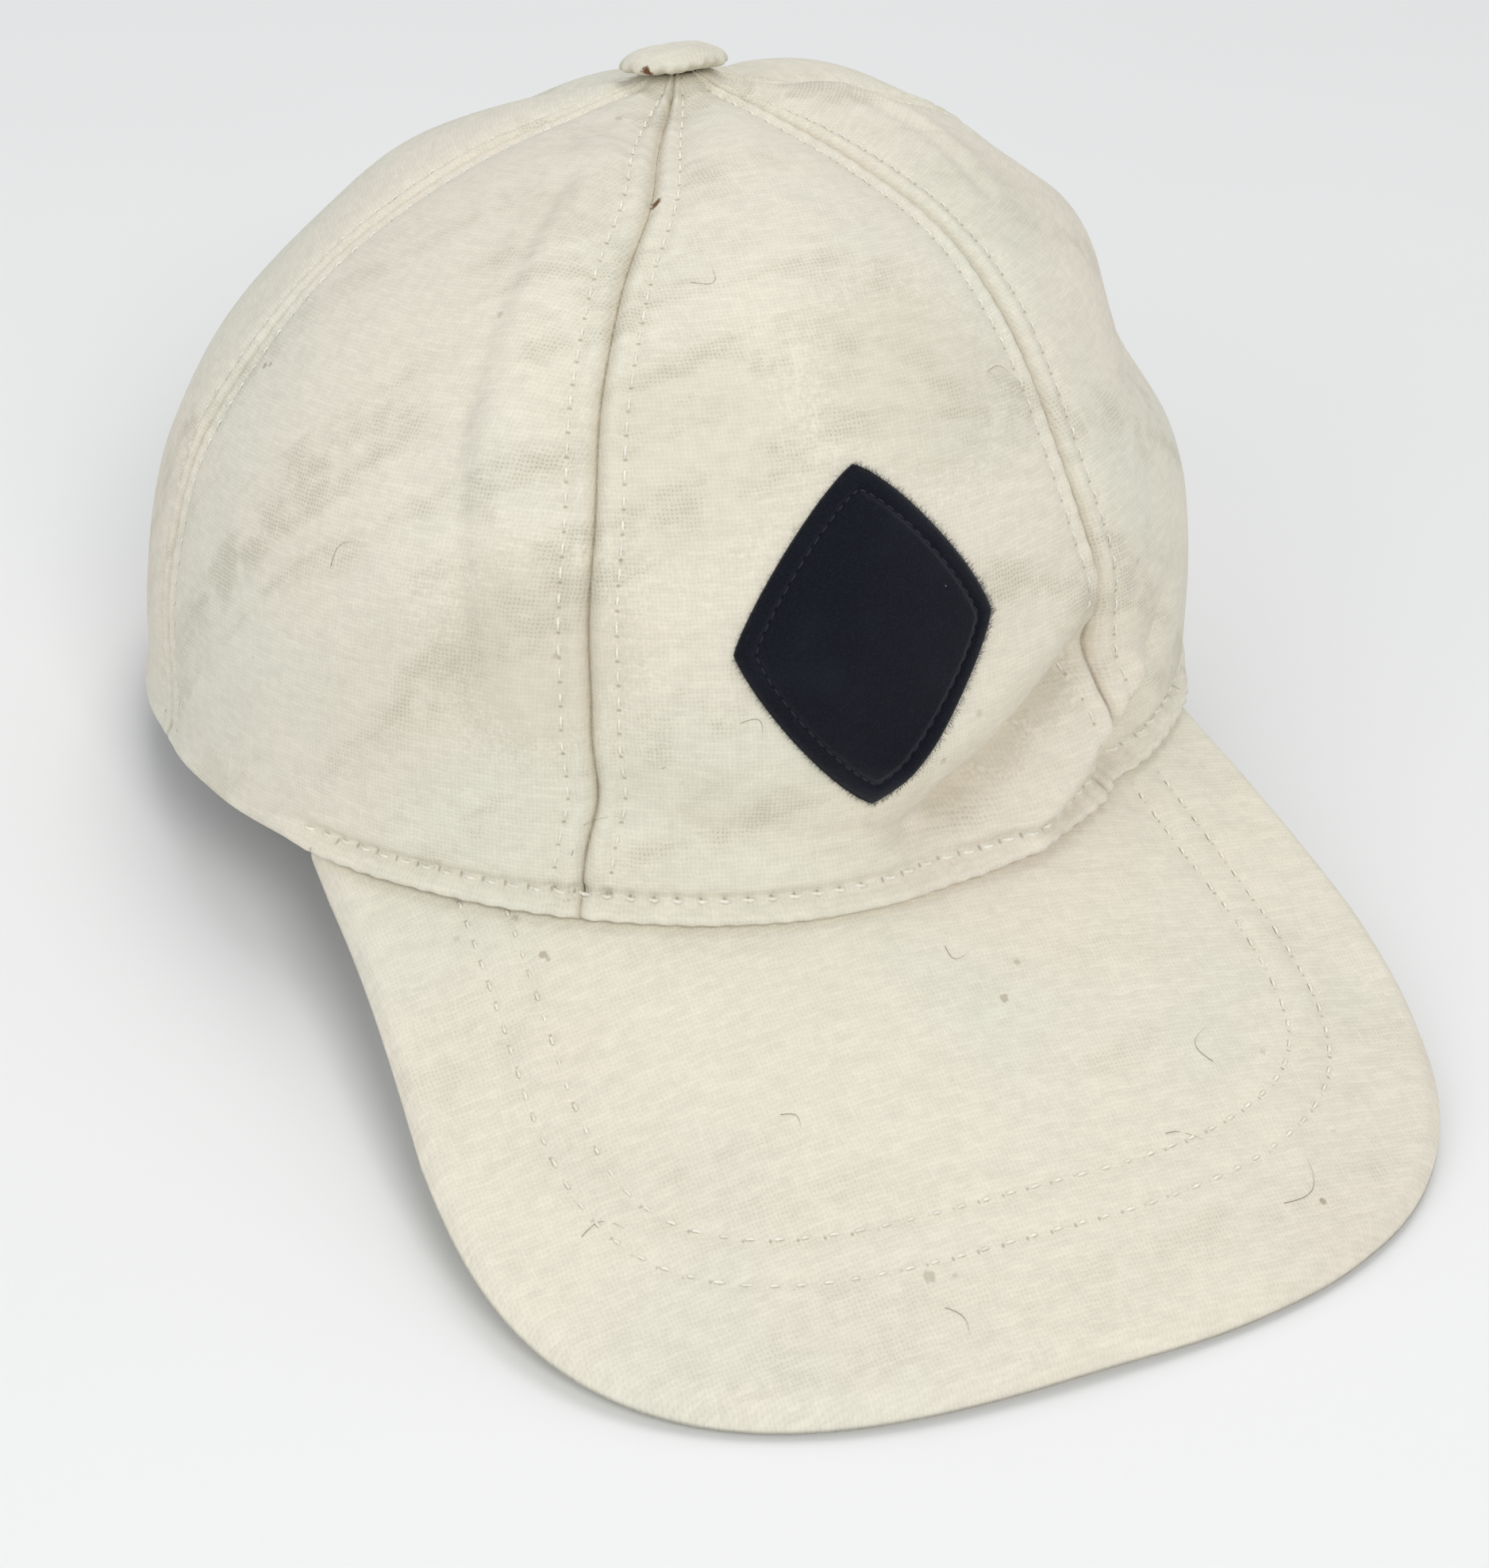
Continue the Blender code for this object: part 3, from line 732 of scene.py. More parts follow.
class Finish:
    """A material that is put together from short calls, each adding one node."""

    def __init__(self, name):
        self.material = bpy.data.materials.new(name)
        self.material.use_nodes = True
        self.tree = self.material.node_tree
        self.shader = self.tree.nodes["Principled BSDF"]
        self.place = self.add("ShaderNodeTexCoord").outputs["Object"]

    def add(self, kind, inputs=(), **settings):
        """A node with its settings, and its inputs by name or number: each a value or a socket."""
        made = self.tree.nodes.new(kind)
        for name, value in settings.items():
            setattr(made, name, value)
        for name, value in dict(inputs).items():
            self.feed(made.inputs[name], value)
        return made

    def feed(self, socket, value):
        """Link a socket to another one or give it a value."""
        if isinstance(value, bpy.types.NodeSocket):
            self.tree.links.new(value, socket)
        else:
            socket.default_value = value

    def math(self, operation, *values):
        """One operation on numbers and sockets."""
        return self.add("ShaderNodeMath", enumerate(values), operation=operation).outputs[0]

    def times(self, first, *others):
        """The product of numbers and sockets."""
        for other in others:
            first = self.math("MULTIPLY", first, other)
        return first

    def moved(self, operation, *values):
        """One operation on vectors."""
        made = self.add("ShaderNodeVectorMath", enumerate(values), operation=operation)
        return made.outputs["Value" if operation == "DISTANCE" else "Vector"]

    def vector(self, *parts):
        return self.add("ShaderNodeCombineXYZ", enumerate(parts)).outputs[0]

    def parts(self, vector):
        return self.add("ShaderNodeSeparateXYZ", {"Vector": vector}).outputs

    def noise(self, scale, detail=2.0, roughness=0.5, at=None, output="Fac"):
        """Noise at the object's own coordinates or at another vector."""
        inputs = {"Vector": self.place if at is None else at, "Scale": scale}
        inputs.update(Detail=detail, Roughness=roughness)
        return self.add("ShaderNodeTexNoise", inputs).outputs[output]

    def ramp(self, value, low, high, to_low=0.0, to_high=1.0):
        """A value from low to high carried over to to_low to to_high by a smooth step, and held."""
        ends = {"From Min": low, "From Max": high, "To Min": to_low, "To Max": to_high}
        inputs = {"Value": value, **ends}
        made = self.add("ShaderNodeMapRange", inputs, interpolation_type="SMOOTHSTEP")
        return made.outputs["Result"]

    def mix(self, share, first, second, blend="MIX"):
        """Two colours mixed by a share, each a socket or three numbers."""
        made = self.tree.nodes.new("ShaderNodeMix")
        made.data_type = "RGBA"
        made.blend_type = blend
        self.feed(made.inputs[0], share)
        for socket, colour in ((made.inputs[6], first), (made.inputs[7], second)):
            self.feed(socket, (*colour, 1.0) if isinstance(colour, tuple) else colour)
        return made.outputs[2]

    def map_parts(self, map_name):
        """The two coordinates of one of the piece's flat maps."""
        parts = self.parts(self.add("ShaderNodeUVMap", uv_map=map_name).outputs["UV"])
        return parts["X"], parts["Y"]

    def scatter(self, scale, low, high, kept, kept_low, kept_high, fray=None):
        """Spots round the points of a scatter, in the cells where a second noise is high enough.

        A spot is full up to low from its point and gone at high; fray is a noise that roughens it.
        """
        cells = self.add("ShaderNodeTexVoronoi", {"Vector": self.place, "Scale": scale})
        distance = cells.outputs["Distance"]
        if fray is not None:
            distance = self.math("MULTIPLY_ADD", fray, 0.10, self.math("SUBTRACT", distance, 0.05))
        chosen = self.noise(kept, detail=0.0, at=cells.outputs["Position"])
        chosen = self.ramp(chosen, kept_low, kept_high)
        return self.times(self.ramp(distance, low, high, 1.0, 0.0), chosen)

    def bump(self, height, distance):
        """Slight relief of the surface from a height, for what is finer than the mesh."""
        inputs = {"Height": height, "Distance": distance, "Strength": 1.0}
        self.wire("Normal", self.add("ShaderNodeBump", inputs).outputs["Normal"])

    def set(self, **values):
        """Constant values of the shader's own sockets; an underscore stands for a space."""
        for name, value in values.items():
            self.shader.inputs[name.replace("_", " ")].default_value = value

    def wire(self, name, socket):
        self.tree.links.new(socket, self.shader.inputs[name])


def plain_weave(finish, across, along, pitch):
    """Height and pinholes of a plain weave.

    Warp and weft are sines of the two coordinates; their product's sign says which thread lies on
    top, and the height is the greater of the two threads' heights. A pinhole is where both are low.
    """
    warp = finish.math("SINE", finish.times(across, math.pi / pitch))
    weft = finish.math("SINE", finish.times(along, math.pi / pitch))
    over = finish.times(warp, weft, 0.35)
    warp_size, weft_size = finish.math("ABSOLUTE", warp), finish.math("ABSOLUTE", weft)
    warp_height = finish.times(warp_size, finish.math("ADD", 0.65, over))
    weft_height = finish.times(weft_size, finish.math("SUBTRACT", 0.65, over))
    height = finish.math("MAXIMUM", warp_height, weft_height)
    hole = finish.ramp(finish.math("MAXIMUM", warp_size, weft_size), 0.25, 0.75, 1.0, 0.0)
    return height, hole


def thread_tones(finish, across, along, pitch):
    """Lighter and darker threads: noise stretched along each and stepped from one to the next."""
    tones = []
    for over, run, weight in ((across, along, 0.3), (along, across, 0.7)):
        number = finish.math("FLOOR", finish.math("DIVIDE", over, pitch))
        place = finish.vector(finish.times(number, 3.71), finish.times(run, 170.0))
        tones.append(finish.times(finish.noise(1.0, detail=1.0, at=place), weight))
    return finish.math("ADD", *tones)


def stitch_holes(finish, map_name):
    """Pinholes of a stitch row: near the row, and near whole numbers of stitches along it."""
    distance, count = finish.map_parts(map_name)
    near = finish.ramp(finish.math("ABSOLUTE", distance), 0.0001, 0.00045, 1.0, 0.0)
    part = finish.math("ABSOLUTE", finish.math("SUBTRACT", finish.math("FRACT", count), 0.5))
    return finish.times(near, finish.ramp(part, 0.42, 0.49))


def wool_flannel(name, holes, wear, stains_and_shade):
    """Cream wool flannel: a plain weave under a felted nap, with streaks where the nap has worn.

    Where it has worn the weave's pinholes show and the cloth is greyer. Soft tints change over
    centimetres, single threads differ slightly, and flecks lie in some cells of a scatter. holes
    names the maps of the stitch rows. Each patch in the last argument is a centre, radius, strength
    and colour: stains, and on the crown also painted shade.
    """
    finish = Finish(name)
    across, along = finish.map_parts("weave")
    wobble = finish.parts(finish.noise(420.0, output="Color"))
    across = finish.math("MULTIPLY_ADD", wobble["X"], 0.0011, across)
    along = finish.math("MULTIPLY_ADD", wobble["Y"], 0.0009, along)
    weave, pinholes = plain_weave(finish, across, along, WEAVE_PITCH)

    # Worn streaks lie level over the front and slant down the sides
    place = finish.parts(finish.place)
    slant = finish.math("MULTIPLY_ADD", place["Y"], 1.65, place["Z"])
    scaled = ((place["X"], 17.0), (place["Y"], 10.0), (slant, 46.0))
    streaked = finish.vector(*[finish.times(part, scale) for part, scale in scaled])
    streak = finish.ramp(finish.noise(*WOOL_STREAKS, at=streaked), 0.45, 0.66)
    worn = finish.times(streak, finish.ramp(finish.noise(*WOOL_PATCHES), 0.34, 0.62), wear)
    tuft = finish.noise(*WOOL_TUFTS)
    nap = finish.noise(*WOOL_NAP)
    tones = thread_tones(finish, across, along, WEAVE_PITCH)
    warm = finish.noise(15.0, at=finish.moved("ADD", finish.place, (0.9, 4.2, 2.3)))
    cool = finish.noise(19.0, at=finish.moved("ADD", finish.place, (5.3, 1.1, 0.4)))

    colour = finish.mix(finish.ramp(warm, 0.38, 0.66), CREAM, CREAM_WARM)
    colour = finish.mix(finish.ramp(cool, 0.44, 0.68, 0.0, 0.8), colour, CREAM_COOL)
    colour = finish.mix(finish.times(worn, 0.34), colour, GREY_SOIL_AND_SHADE)
    # Painted shade in the weave's hollows, times the random tones of the threads, tufts and nap
    shade = finish.times(
        finish.ramp(tones, 0.34, 0.64, 0.955, 1.02), finish.ramp(weave, 0.35, 0.95, 0.965, 1.01),
        finish.ramp(tuft, 0.30, 0.70, 0.965, 1.015), finish.ramp(nap, 0.25, 0.75, 0.96, 1.02))
    grey = finish.add("ShaderNodeCombineColor", enumerate([shade] * 3)).outputs[0]
    colour = finish.mix(1.0, colour, grey, blend="MULTIPLY")
    open_weave = finish.times(pinholes, finish.ramp(worn, 0.0, 1.0, 0.06, 0.58))
    colour = finish.mix(open_weave, colour, PINHOLE_SHADE)
    flecks = finish.scatter(105.0, 0.030, 0.090, 310.0, 0.54, 0.66, fray=nap)
    colour = finish.mix(finish.times(flecks, 0.42), colour, FLECK_BROWN)

    sunk = 0.0
    for map_name in holes:
        hole = stitch_holes(finish, map_name)
        colour = finish.mix(finish.times(hole, 0.45), colour, HOLE_SHADE)
        sunk = finish.math("ADD", sunk, hole)
    if "seam_row" in holes:
        # Dirt and painted shade darken the seam grooves and the fold between rim and peak
        from_seam = finish.math("ADD", finish.map_parts("seam_row")[0], SEAM_ROW)
        above_fold = finish.math("ADD", finish.map_parts("hem_row")[0], HEM_ROW)
        from_fold = finish.math("ABSOLUTE", above_fold)
        dirt_and_shade = finish.math("MAXIMUM", finish.ramp(from_seam, 0.0001, 0.0012, 1.0, 0.0),
                           finish.ramp(from_fold, 0.0001, 0.0009, 1.0, 0.0))
        dirt_and_shade = finish.times(dirt_and_shade, finish.ramp(tuft, 0.25, 0.65, 0.12, 0.55))
        colour = finish.mix(dirt_and_shade, colour, SEAM_SOIL_AND_SHADE)

    # Soft round patches of colour: stains, and on the crown also painted shade in its dent and
    # crease
    for centre, radius, strength, mark_colour in stains_and_shade:
        rough = finish.math("MULTIPLY_ADD", finish.noise(1400.0), radius * 1.1, -radius * 0.55)
        far = finish.math("ADD", finish.moved("DISTANCE", finish.place, centre), rough)
        mask = finish.times(finish.ramp(far, radius * 0.55, radius, 1.0, 0.0), strength)
        colour = finish.mix(mask, colour, mark_colour)
    finish.wire("Base Color", colour)

    raised = finish.times(weave, finish.ramp(worn, 0.0, 1.0, 0.40, 0.80))
    for part, height in ((nap, 0.50), (tuft, 1.10), (sunk, -1.2)):
        raised = finish.math("MULTIPLY_ADD", part, height, raised)
    finish.bump(raised, 0.00011)
    finish.set(Roughness=0.95, Specular_IOR_Level=0.15, Sheen_Weight=0.12, Sheen_Roughness=0.6)
    return finish.material


def cotton_thread(name, colour):
    """Twisted sewing thread: slanted ridges from a sine of the two map coordinates together."""
    finish = Finish(name)
    around, along = finish.map_parts("thread")
    turn = finish.math("ADD", finish.times(along, 9000.0), finish.times(around, 2 * math.pi))
    tone = finish.ramp(finish.noise(700.0), 0.3, 0.7)
    darker = tuple(part * 0.86 for part in colour)
    finish.wire("Base Color", finish.mix(tone, darker, colour))
    finish.bump(finish.math("SINE", turn), 0.00003)
    finish.set(Roughness=0.55, Specular_IOR_Level=0.35, Sheen_Weight=0.1)
    return finish.material


def felt(name):
    """Dense navy felt: fine fibres in two sizes of noise, with a few lighter ones showing."""
    finish = Finish(name)
    fibres = finish.noise(*FELT_FIBRES)
    clumps = finish.noise(*FELT_CLUMPS)
    colour = finish.mix(finish.ramp(fibres, 0.35, 0.70), NAVY_DEEP, NAVY_FELT)
    for tone, low, high, most in (
        (fibres, 0.58, 0.74, 0.8),
        (clumps, 0.60, 0.80, 0.30),
        (finish.noise(70.0), 0.45, 0.75, 0.25),
    ):
        colour = finish.mix(finish.ramp(tone, low, high, 0.0, most), colour, NAVY_PALE)
    lint = finish.scatter(210.0, 0.018, 0.040, 500.0, 0.66, 0.72)
    finish.wire("Base Color", finish.mix(finish.times(lint, 0.5), colour, LINT))
    finish.bump(finish.math("MULTIPLY_ADD", clumps, 1.2, fibres), 0.00012)
    finish.set(Roughness=0.98, Specular_IOR_Level=0.12, Sheen_Weight=0.12, Sheen_Roughness=0.5)
    return finish.material


def nickel(name):
    """Brushed nickel plate with faint wear."""
    finish = Finish(name)
    brushed = finish.noise(900.0, at=finish.moved("MULTIPLY", finish.place, (1.0, 9.0, 1.0)))
    wear = finish.ramp(finish.noise(240.0, 3.0), 0.4, 0.7)
    finish.wire("Base Color", finish.mix(wear, NICKEL, NICKEL_WORN))
    finish.wire("Roughness", finish.ramp(brushed, 0.3, 0.7, 0.26, 0.44))
    finish.bump(brushed, 0.00001)
    finish.set(Metallic=1.0)
    return finish.material


def hair_finish(name, colour):
    """Fine fibre with a slight change of tone along it."""
    finish = Finish(name)
    tone = finish.ramp(finish.noise(400.0), 0.35, 0.65)
    finish.wire("Base Color", finish.mix(tone, colour, tuple(part * 0.6 for part in colour)))
    finish.set(Roughness=0.7, Specular_IOR_Level=0.25)
    return finish.material


def floor_finish(name):
    """Plain pale paper."""
    finish = Finish(name)
    finish.wire("Base Color", finish.mix(finish.noise(9.0), PAPER_DARK, PAPER_LIGHT))
    finish.set(Roughness=0.9, Specular_IOR_Level=0.1)
    return finish.material


def panel_piece(name, index, finish):
    """One wedge of the crown with its turned hem.

    Columns run from seam to seam, crowded towards the seams by a sine. Rows follow the cloth: down
    the inside of the hem, round the rim's edge in half a turn of FOLD_RADIUS, and up to the top.
    """
    across = np.linspace(-1.0, 1.0, PANEL_COLUMNS)
    crowded = across + 0.55 * np.sin(math.pi * across) / math.pi
    top = level_at_radius(TOP_HOLE_RADIUS) * CLOTH_RISE
    half_turn = np.linspace(math.pi, 0.0, 11)
    turned_in = np.linspace(HEM_WIDTH, FOLD_RADIUS, 14)[:-1]
    near_hem = np.linspace(FOLD_RADIUS, FINE_ROWS_RISE, 13)[1:]
    face = np.concatenate([near_hem, np.linspace(FINE_ROWS_RISE, top, 176)[1:]])
    fold = FOLD_RADIUS - FOLD_RADIUS * np.stack([np.sin(half_turn), np.cos(half_turn)])
    rise = np.concatenate([turned_in, fold[0], face])
    depth = np.concatenate([0 * turned_in + 2 * FOLD_RADIUS, fold[1], 0 * face])
    share, rise = np.meshgrid((crowded + 1) / 2, rise)
    depth = np.broadcast_to(depth[:, None], share.shape)
    level = rise / CLOTH_RISE
    first = seam_azimuth(index - 1, level)
    azimuth = first + (seam_azimuth(index, level) - first) * share
    points = crown_surface(azimuth, level, depth)
    # Behind the fold the cloth runs on, so its map goes on below the rim
    run = np.where(depth > FOLD_RADIUS, -rise, rise)
    from_seam = np.abs(seam_distance(azimuth, level)) / row_narrowing(level)
    # The row round the hem shows over the peak alone, so behind it the map lies far from the row
    above_row = rise - HEM_ROW + 0.02 * (1.0 - over_peak(azimuth))
    maps = {
        "weave": np.stack([radius_at(level) * (azimuth - index * SEAM_STEP), run], -1),
        "seam_row": np.stack([from_seam - SEAM_ROW, rise / STITCH], -1),
        "hem_row": np.stack([above_row, azimuth * RIM_RADIUS / STITCH], -1),
    }
    faces = grid_quads(PANEL_COLUMNS, len(rise))
    piece = walled(finished_piece(name + "_cloth", laid_down(points), faces, finish, maps), CLOTH)
    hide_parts(name)
    return piece


def allowance_piece(name, index, finish):
    """The two pressed seam allowances inside one panel, each a strip that follows the cloth.

    The strips lie CLOTH and LAYER_GAP under the panel's face, from the seam to ALLOWANCE_WIDTH,
    where their cut edge frays by a seeded draw.
    """
    draw = np.random.default_rng(100 + index)
    columns = 12
    rise = np.linspace(HEM_WIDTH + 0.0006, level_at_radius(0.0085) * CLOTH_RISE, 130)
    points, faces, weave = [], [], []
    for side, seam in ((1, index - 1), (-1, index)):
        share, grid_rise = np.meshgrid(np.linspace(0.0, 1.0, columns), rise)
        level = grid_rise / CLOTH_RISE
        fray = 1.0 + 0.05 * draw.normal(size=(len(rise), 1)) * share**4
        wide = (ALLOWANCE_WIDTH - ALLOWANCE_START) * share * fray * row_narrowing(level)
        away = ALLOWANCE_START + wide
        azimuth = seam_azimuth(seam, level) + side * away / radius_at(level)
        faces.append(grid_quads(columns, len(rise), flipped=side < 0) + sum(len(p) for p in points))
        points.append(crown_surface(azimuth, level, CLOTH + LAYER_GAP).reshape(-1, 3))
        weave.append(np.stack([away, grid_rise], -1).reshape(-1, 2))
    maps = {"weave": np.concatenate(weave)}
    made = finished_piece(name + "_seam_allowances", laid_down(np.concatenate(points)),
                          np.concatenate(faces), finish, maps)
    return walled(made, CLOTH * 0.9)


def peak_piece(name, node, under, finish):
    """One cloth cover of the peak.

    Columns are rays over the sides and rows run along the rays, crowded in the last millimetres by
    a sine. The face falls round the edge by edge_drop; the under cover is its mirror image at
    PEAK_DEPTH below the top face, drawn in by UNDER_EDGE_INSET.
    """
    side = peak_sides()
    reach = np.concatenate([[-1.0, -0.5], np.linspace(0.0, 0.95, 92)[:-1]])
    reach = np.concatenate([reach, 0.95 + 0.05 * np.sin(np.linspace(0.0, 1.2, 16)) / math.sin(1.2)])
    grid_side, grid_reach = np.meshgrid(side, reach)
    points = peak_plain(grid_side, grid_reach)
    inset = UNDER_EDGE_INSET if under else 0.0
    middle = peak_plain(np.zeros(1), np.full(1, 0.3))[0]
    distance = nearest_on_line(points[..., :2], PEAK_BORDER)[0]
    inwards = unit(middle[:2] - points[..., :2])
    points[..., :2] += inwards * (inset * bell(distance, 0.004))[..., None]
    normal = peak_normal(grid_side, grid_reach)
    relief = peak_relief(points, grid_side, distance)
    # Tucked under the rim the cover lies flat
    relief = relief * np.clip(grid_reach / 0.03, 0.0, 1.0)
    drop = edge_drop(distance)
    points = points + normal * (-PEAK_DEPTH - relief if under else relief)[..., None]
    points[..., 2] += 0.95 * drop if under else -drop
    inner = points + [0.0, 0.0, CLOTH if under else -CLOTH]
    maps = {"weave": points[..., :2]}
    for number, (row_side, row_reach, length) in enumerate(ROWS_ON_PEAK):
        row_line = peak_plain(row_side, row_reach)[:, :2]
        aside, place = nearest_on_line(maps["weave"], row_line)
        count = np.interp(place, np.arange(len(length)), length) / PEAK_STITCH
        maps[f"peak_row_{number}"] = np.stack([aside, count], -1)
    maps = {map_name: np.stack([places, places]) for map_name, places in maps.items()}
    faces = closed_grid(len(side), len(reach), flipped=not under)
    piece = finished_piece(name, laid_down(np.stack([points, inner])), faces, finish, maps)
    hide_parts(node)
    return piece


def tube_faces(count, sides, rings):
    """Faces of a number of like tubes of rings, each closed by a cap at both ends."""
    corners = rings * sides
    caps = np.array([range(sides)[::-1], range(corners - sides, corners)])
    shift = (np.arange(count) * corners)[:, None, None]
    walls = grid_quads(sides, rings, closed=True) + shift
    return [*walls.reshape(-1, 4), *(caps + shift).reshape(-1, sides)]


def thread_pieces(name, starts, ends, normals, finish, width, arch, sink):
    """Sewn stitches, each a thread that rises out of one hole, arches over and sinks into the next.

    At share u along a stitch its middle is the line from start to end, lifted along the normal by
    arch times the root of sin(pi u) and sunk by sink where that root is small; its radius is half
    the width times the fourth root of sin(pi u). Rings across it are ellipses.
    """
    rings, sides = 7, 6
    share = np.linspace(0.03, 0.97, rings)
    hump = np.sqrt(np.sin(math.pi * share))[None, :, None]
    line = starts[:, None] + (ends - starts)[:, None] * share[None, :, None]
    middle = line + normals[:, None] * (arch * hump - sink * (1.0 - hump))
    tangent = unit(ends - starts)
    beside = unit(np.cross(tangent, normals))[:, None, None]
    above = unit(np.cross(beside[:, 0, 0], tangent))[:, None, None]
    turn = np.linspace(0.0, 2 * math.pi, sides, endpoint=False)
    radius = (width / 2 * np.sqrt(hump))[..., None]
    turned = turn[None, None, :, None]
    ring = beside * np.cos(turned) + 0.8 * above * np.sin(turned)
    points = middle[:, :, None] + radius * ring
    faces = tube_faces(len(starts), sides, rings)
    length = np.linalg.norm(ends - starts, axis=-1)[:, None, None] * share[None, :, None]
    around = np.broadcast_to(turn / (2 * math.pi), (len(starts), rings, sides))
    maps = {"thread": np.stack([around, np.broadcast_to(length, around.shape)], -1)}
    return finished_piece(name, laid_down(points), faces, finish, maps)


def spaced_stitches(count, shown, draw):
    """Start and end of each stitch along its row, in stitches, with slightly uneven ends.

    A stitch starts at its hole and shows for a share of its pitch, then it is lost in the nap.
    """
    start = np.arange(count) + 0.08 + 0.03 * draw.uniform(-1.0, 1.0, count)
    end = np.arange(count) + 0.08 + shown + 0.06 * draw.uniform(-1.0, 1.0, count)
    return start, end


def seam_stitches(name, inside, finish):
    """The two stitch rows beside each seam, outside on the crown or inside on the allowances."""
    draw = np.random.default_rng(5)
    low = HEM_ROW / STITCH + 0.3
    high = level_at_radius(0.0095) * CLOTH_RISE / STITCH
    start, end = spaced_stitches(int(high) + 1, 0.55, draw)
    kept = (start > low) & (end < high)
    rise = np.stack([start[kept], end[kept]]) * STITCH
    depth = 2 * CLOTH + LAYER_GAP if inside else 0.0
    starts, ends, normals = [], [], []
    for seam in range(PANEL_COUNT):
        for side in (-1, 1):
            level = rise / CLOTH_RISE
            away = side * SEAM_ROW * row_narrowing(level)
            azimuth = seam_azimuth(seam, level) + away / radius_at(level)
            first, last = crown_surface(azimuth, level, depth)
            starts.append(first)
            ends.append(last)
            normals.append(outward(*[part.mean(axis=0) for part in (azimuth, level)]))
    starts, ends, normals = [np.concatenate(group) for group in (starts, ends, normals)]
    normals = -normals if inside else normals
    return thread_pieces(name, starts, ends, normals, finish, **SEAM_THREAD)


def hem_stitches(name, inside, finish):
    """The stitch row round the hem: outside over the peak alone, inside all the way round."""
    draw = np.random.default_rng(6)
    count = int(2 * math.pi * RIM_RADIUS / STITCH)
    start, end = spaced_stitches(count, 0.60, draw)
    azimuth = np.stack([start, end]) * STITCH / RIM_RADIUS
    level = np.full_like(azimuth, HEM_ROW / CLOTH_RISE)
    clear = np.abs(seam_distance(azimuth, level)).min(axis=0) > 0.0004
    kept = clear & (inside | (over_peak(azimuth[0]) > 0.5))
    azimuth, level = azimuth[:, kept], level[:, kept]
    depth = 2 * FOLD_RADIUS if inside else 0.0
    starts, ends = crown_surface(azimuth, level, depth)
    normals = outward(azimuth.mean(axis=0), level[0]) * (-1.0 if inside else 1.0)
    return thread_pieces(name, starts, ends, normals, finish, **HEM_THREAD)


def peak_stitches(name, under, finish):
    """The two stitch rows round the peak, spaced evenly along each row."""
    draw = np.random.default_rng(7 + under)
    starts, ends, normals = [], [], []
    for row_side, row_reach, length in ROWS_ON_PEAK:
        start, end = spaced_stitches(int(length[-1] / PEAK_STITCH), 0.42, draw)
        rise = np.stack([start, end]) * PEAK_STITCH
        side, reach = np.interp(rise, length, row_side), np.interp(rise, length, row_reach)
        below = PEAK_DEPTH if under else 0.0
        points = peak_surface(side, reach, below)
        starts.append(points[0])
        ends.append(points[1])
        normals.append(peak_normal(side[0], reach[0]) * (-1.0 if under else 1.0))
    groups = [np.concatenate(group) for group in (starts, ends, normals)]
    return thread_pieces(name, *groups, finish, **PEAK_THREAD)


def patch_place(sideways, upward):
    """Azimuth and level on the lozenge: its two coordinates, rounded at the corners.

    Both are scaled by the sum of their sizes over the PATCH_CORNER_POWER norm of the two.
    """
    straight = np.abs(sideways) + np.abs(upward)
    rounded = np.abs(sideways) ** PATCH_CORNER_POWER + np.abs(upward) ** PATCH_CORNER_POWER
    rounding = straight / np.maximum(rounded, 1e-9) ** (1 / PATCH_CORNER_POWER)
    level = PATCH_LEVEL + upward * rounding * PATCH_HEIGHT / 2 / CLOTH_RISE
    turn = sideways * rounding * PATCH_WIDTH / 2 / radius_at(level)
    return math.radians(PATCH_AZIMUTH) + turn, level


def patch_height(inside):
    """The felt's height by distance inside its edge: a quarter round, a groove, a full middle."""
    edge = np.clip(inside / PATCH_EDGE, 0.0, 1.0)
    body = PATCH_FELT * np.sqrt(1.0 - (1.0 - edge) ** 2)
    return body + mound(inside, PATCH_GROOVE) + PATCH_FULLNESS * (1 - np.exp(-inside / 0.004))


def patch_piece(name, finish):
    """The felt lozenge: a face of patch_height over the crown and a back, joined at the edge."""
    steps = PATCH_STEPS
    axis = np.linspace(-1.0, 1.0, steps)
    axis = np.sign(axis) * (1.0 - (1.0 - np.abs(axis)) ** 1.25)
    across, along = np.meshgrid(axis, axis)
    azimuth, level = patch_place((across - along) / 2, (across + along) / 2)
    inside = (1.0 - np.maximum(np.abs(across), np.abs(along))) * PATCH_HALF_ACROSS
    ground = crown_surface(azimuth, level)
    normal = outward(azimuth, level)
    face = ground + normal * (PATCH_BACK + patch_height(inside))[..., None]
    back = ground + normal * PATCH_BACK
    faces = [grid_quads(steps, steps), grid_quads(steps, steps, flipped=True) + steps**2]
    points = laid_down(np.concatenate([face.reshape(-1, 3), back.reshape(-1, 3)]))
    piece = finished_piece(name, points, np.concatenate(faces), finish)
    body = bmesh.new()
    body.from_mesh(piece.data)
    bmesh.ops.remove_doubles(body, verts=body.verts, dist=1e-6)
    body.to_mesh(piece.data)
    body.free()
    piece.data.shade_smooth()
    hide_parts("front_patch")
    return piece


def patch_border(count, inset):
    """Azimuth and level of places spaced evenly round the lozenge, inset from its edge."""
    walk = np.linspace(0.0, 4.0, count, endpoint=False)
    part = 2.0 * (walk % 1.0) - 1.0
    one = np.ones_like(part)
    side = walk.astype(int)
    across = np.choose(side, [part, one, -part, -one])
    along = np.choose(side, [-one, part, one, -part])
    size = 1.0 - inset / PATCH_HALF_ACROSS
    return patch_place((across - along) / 2 * size, (across + along) / 2 * size)


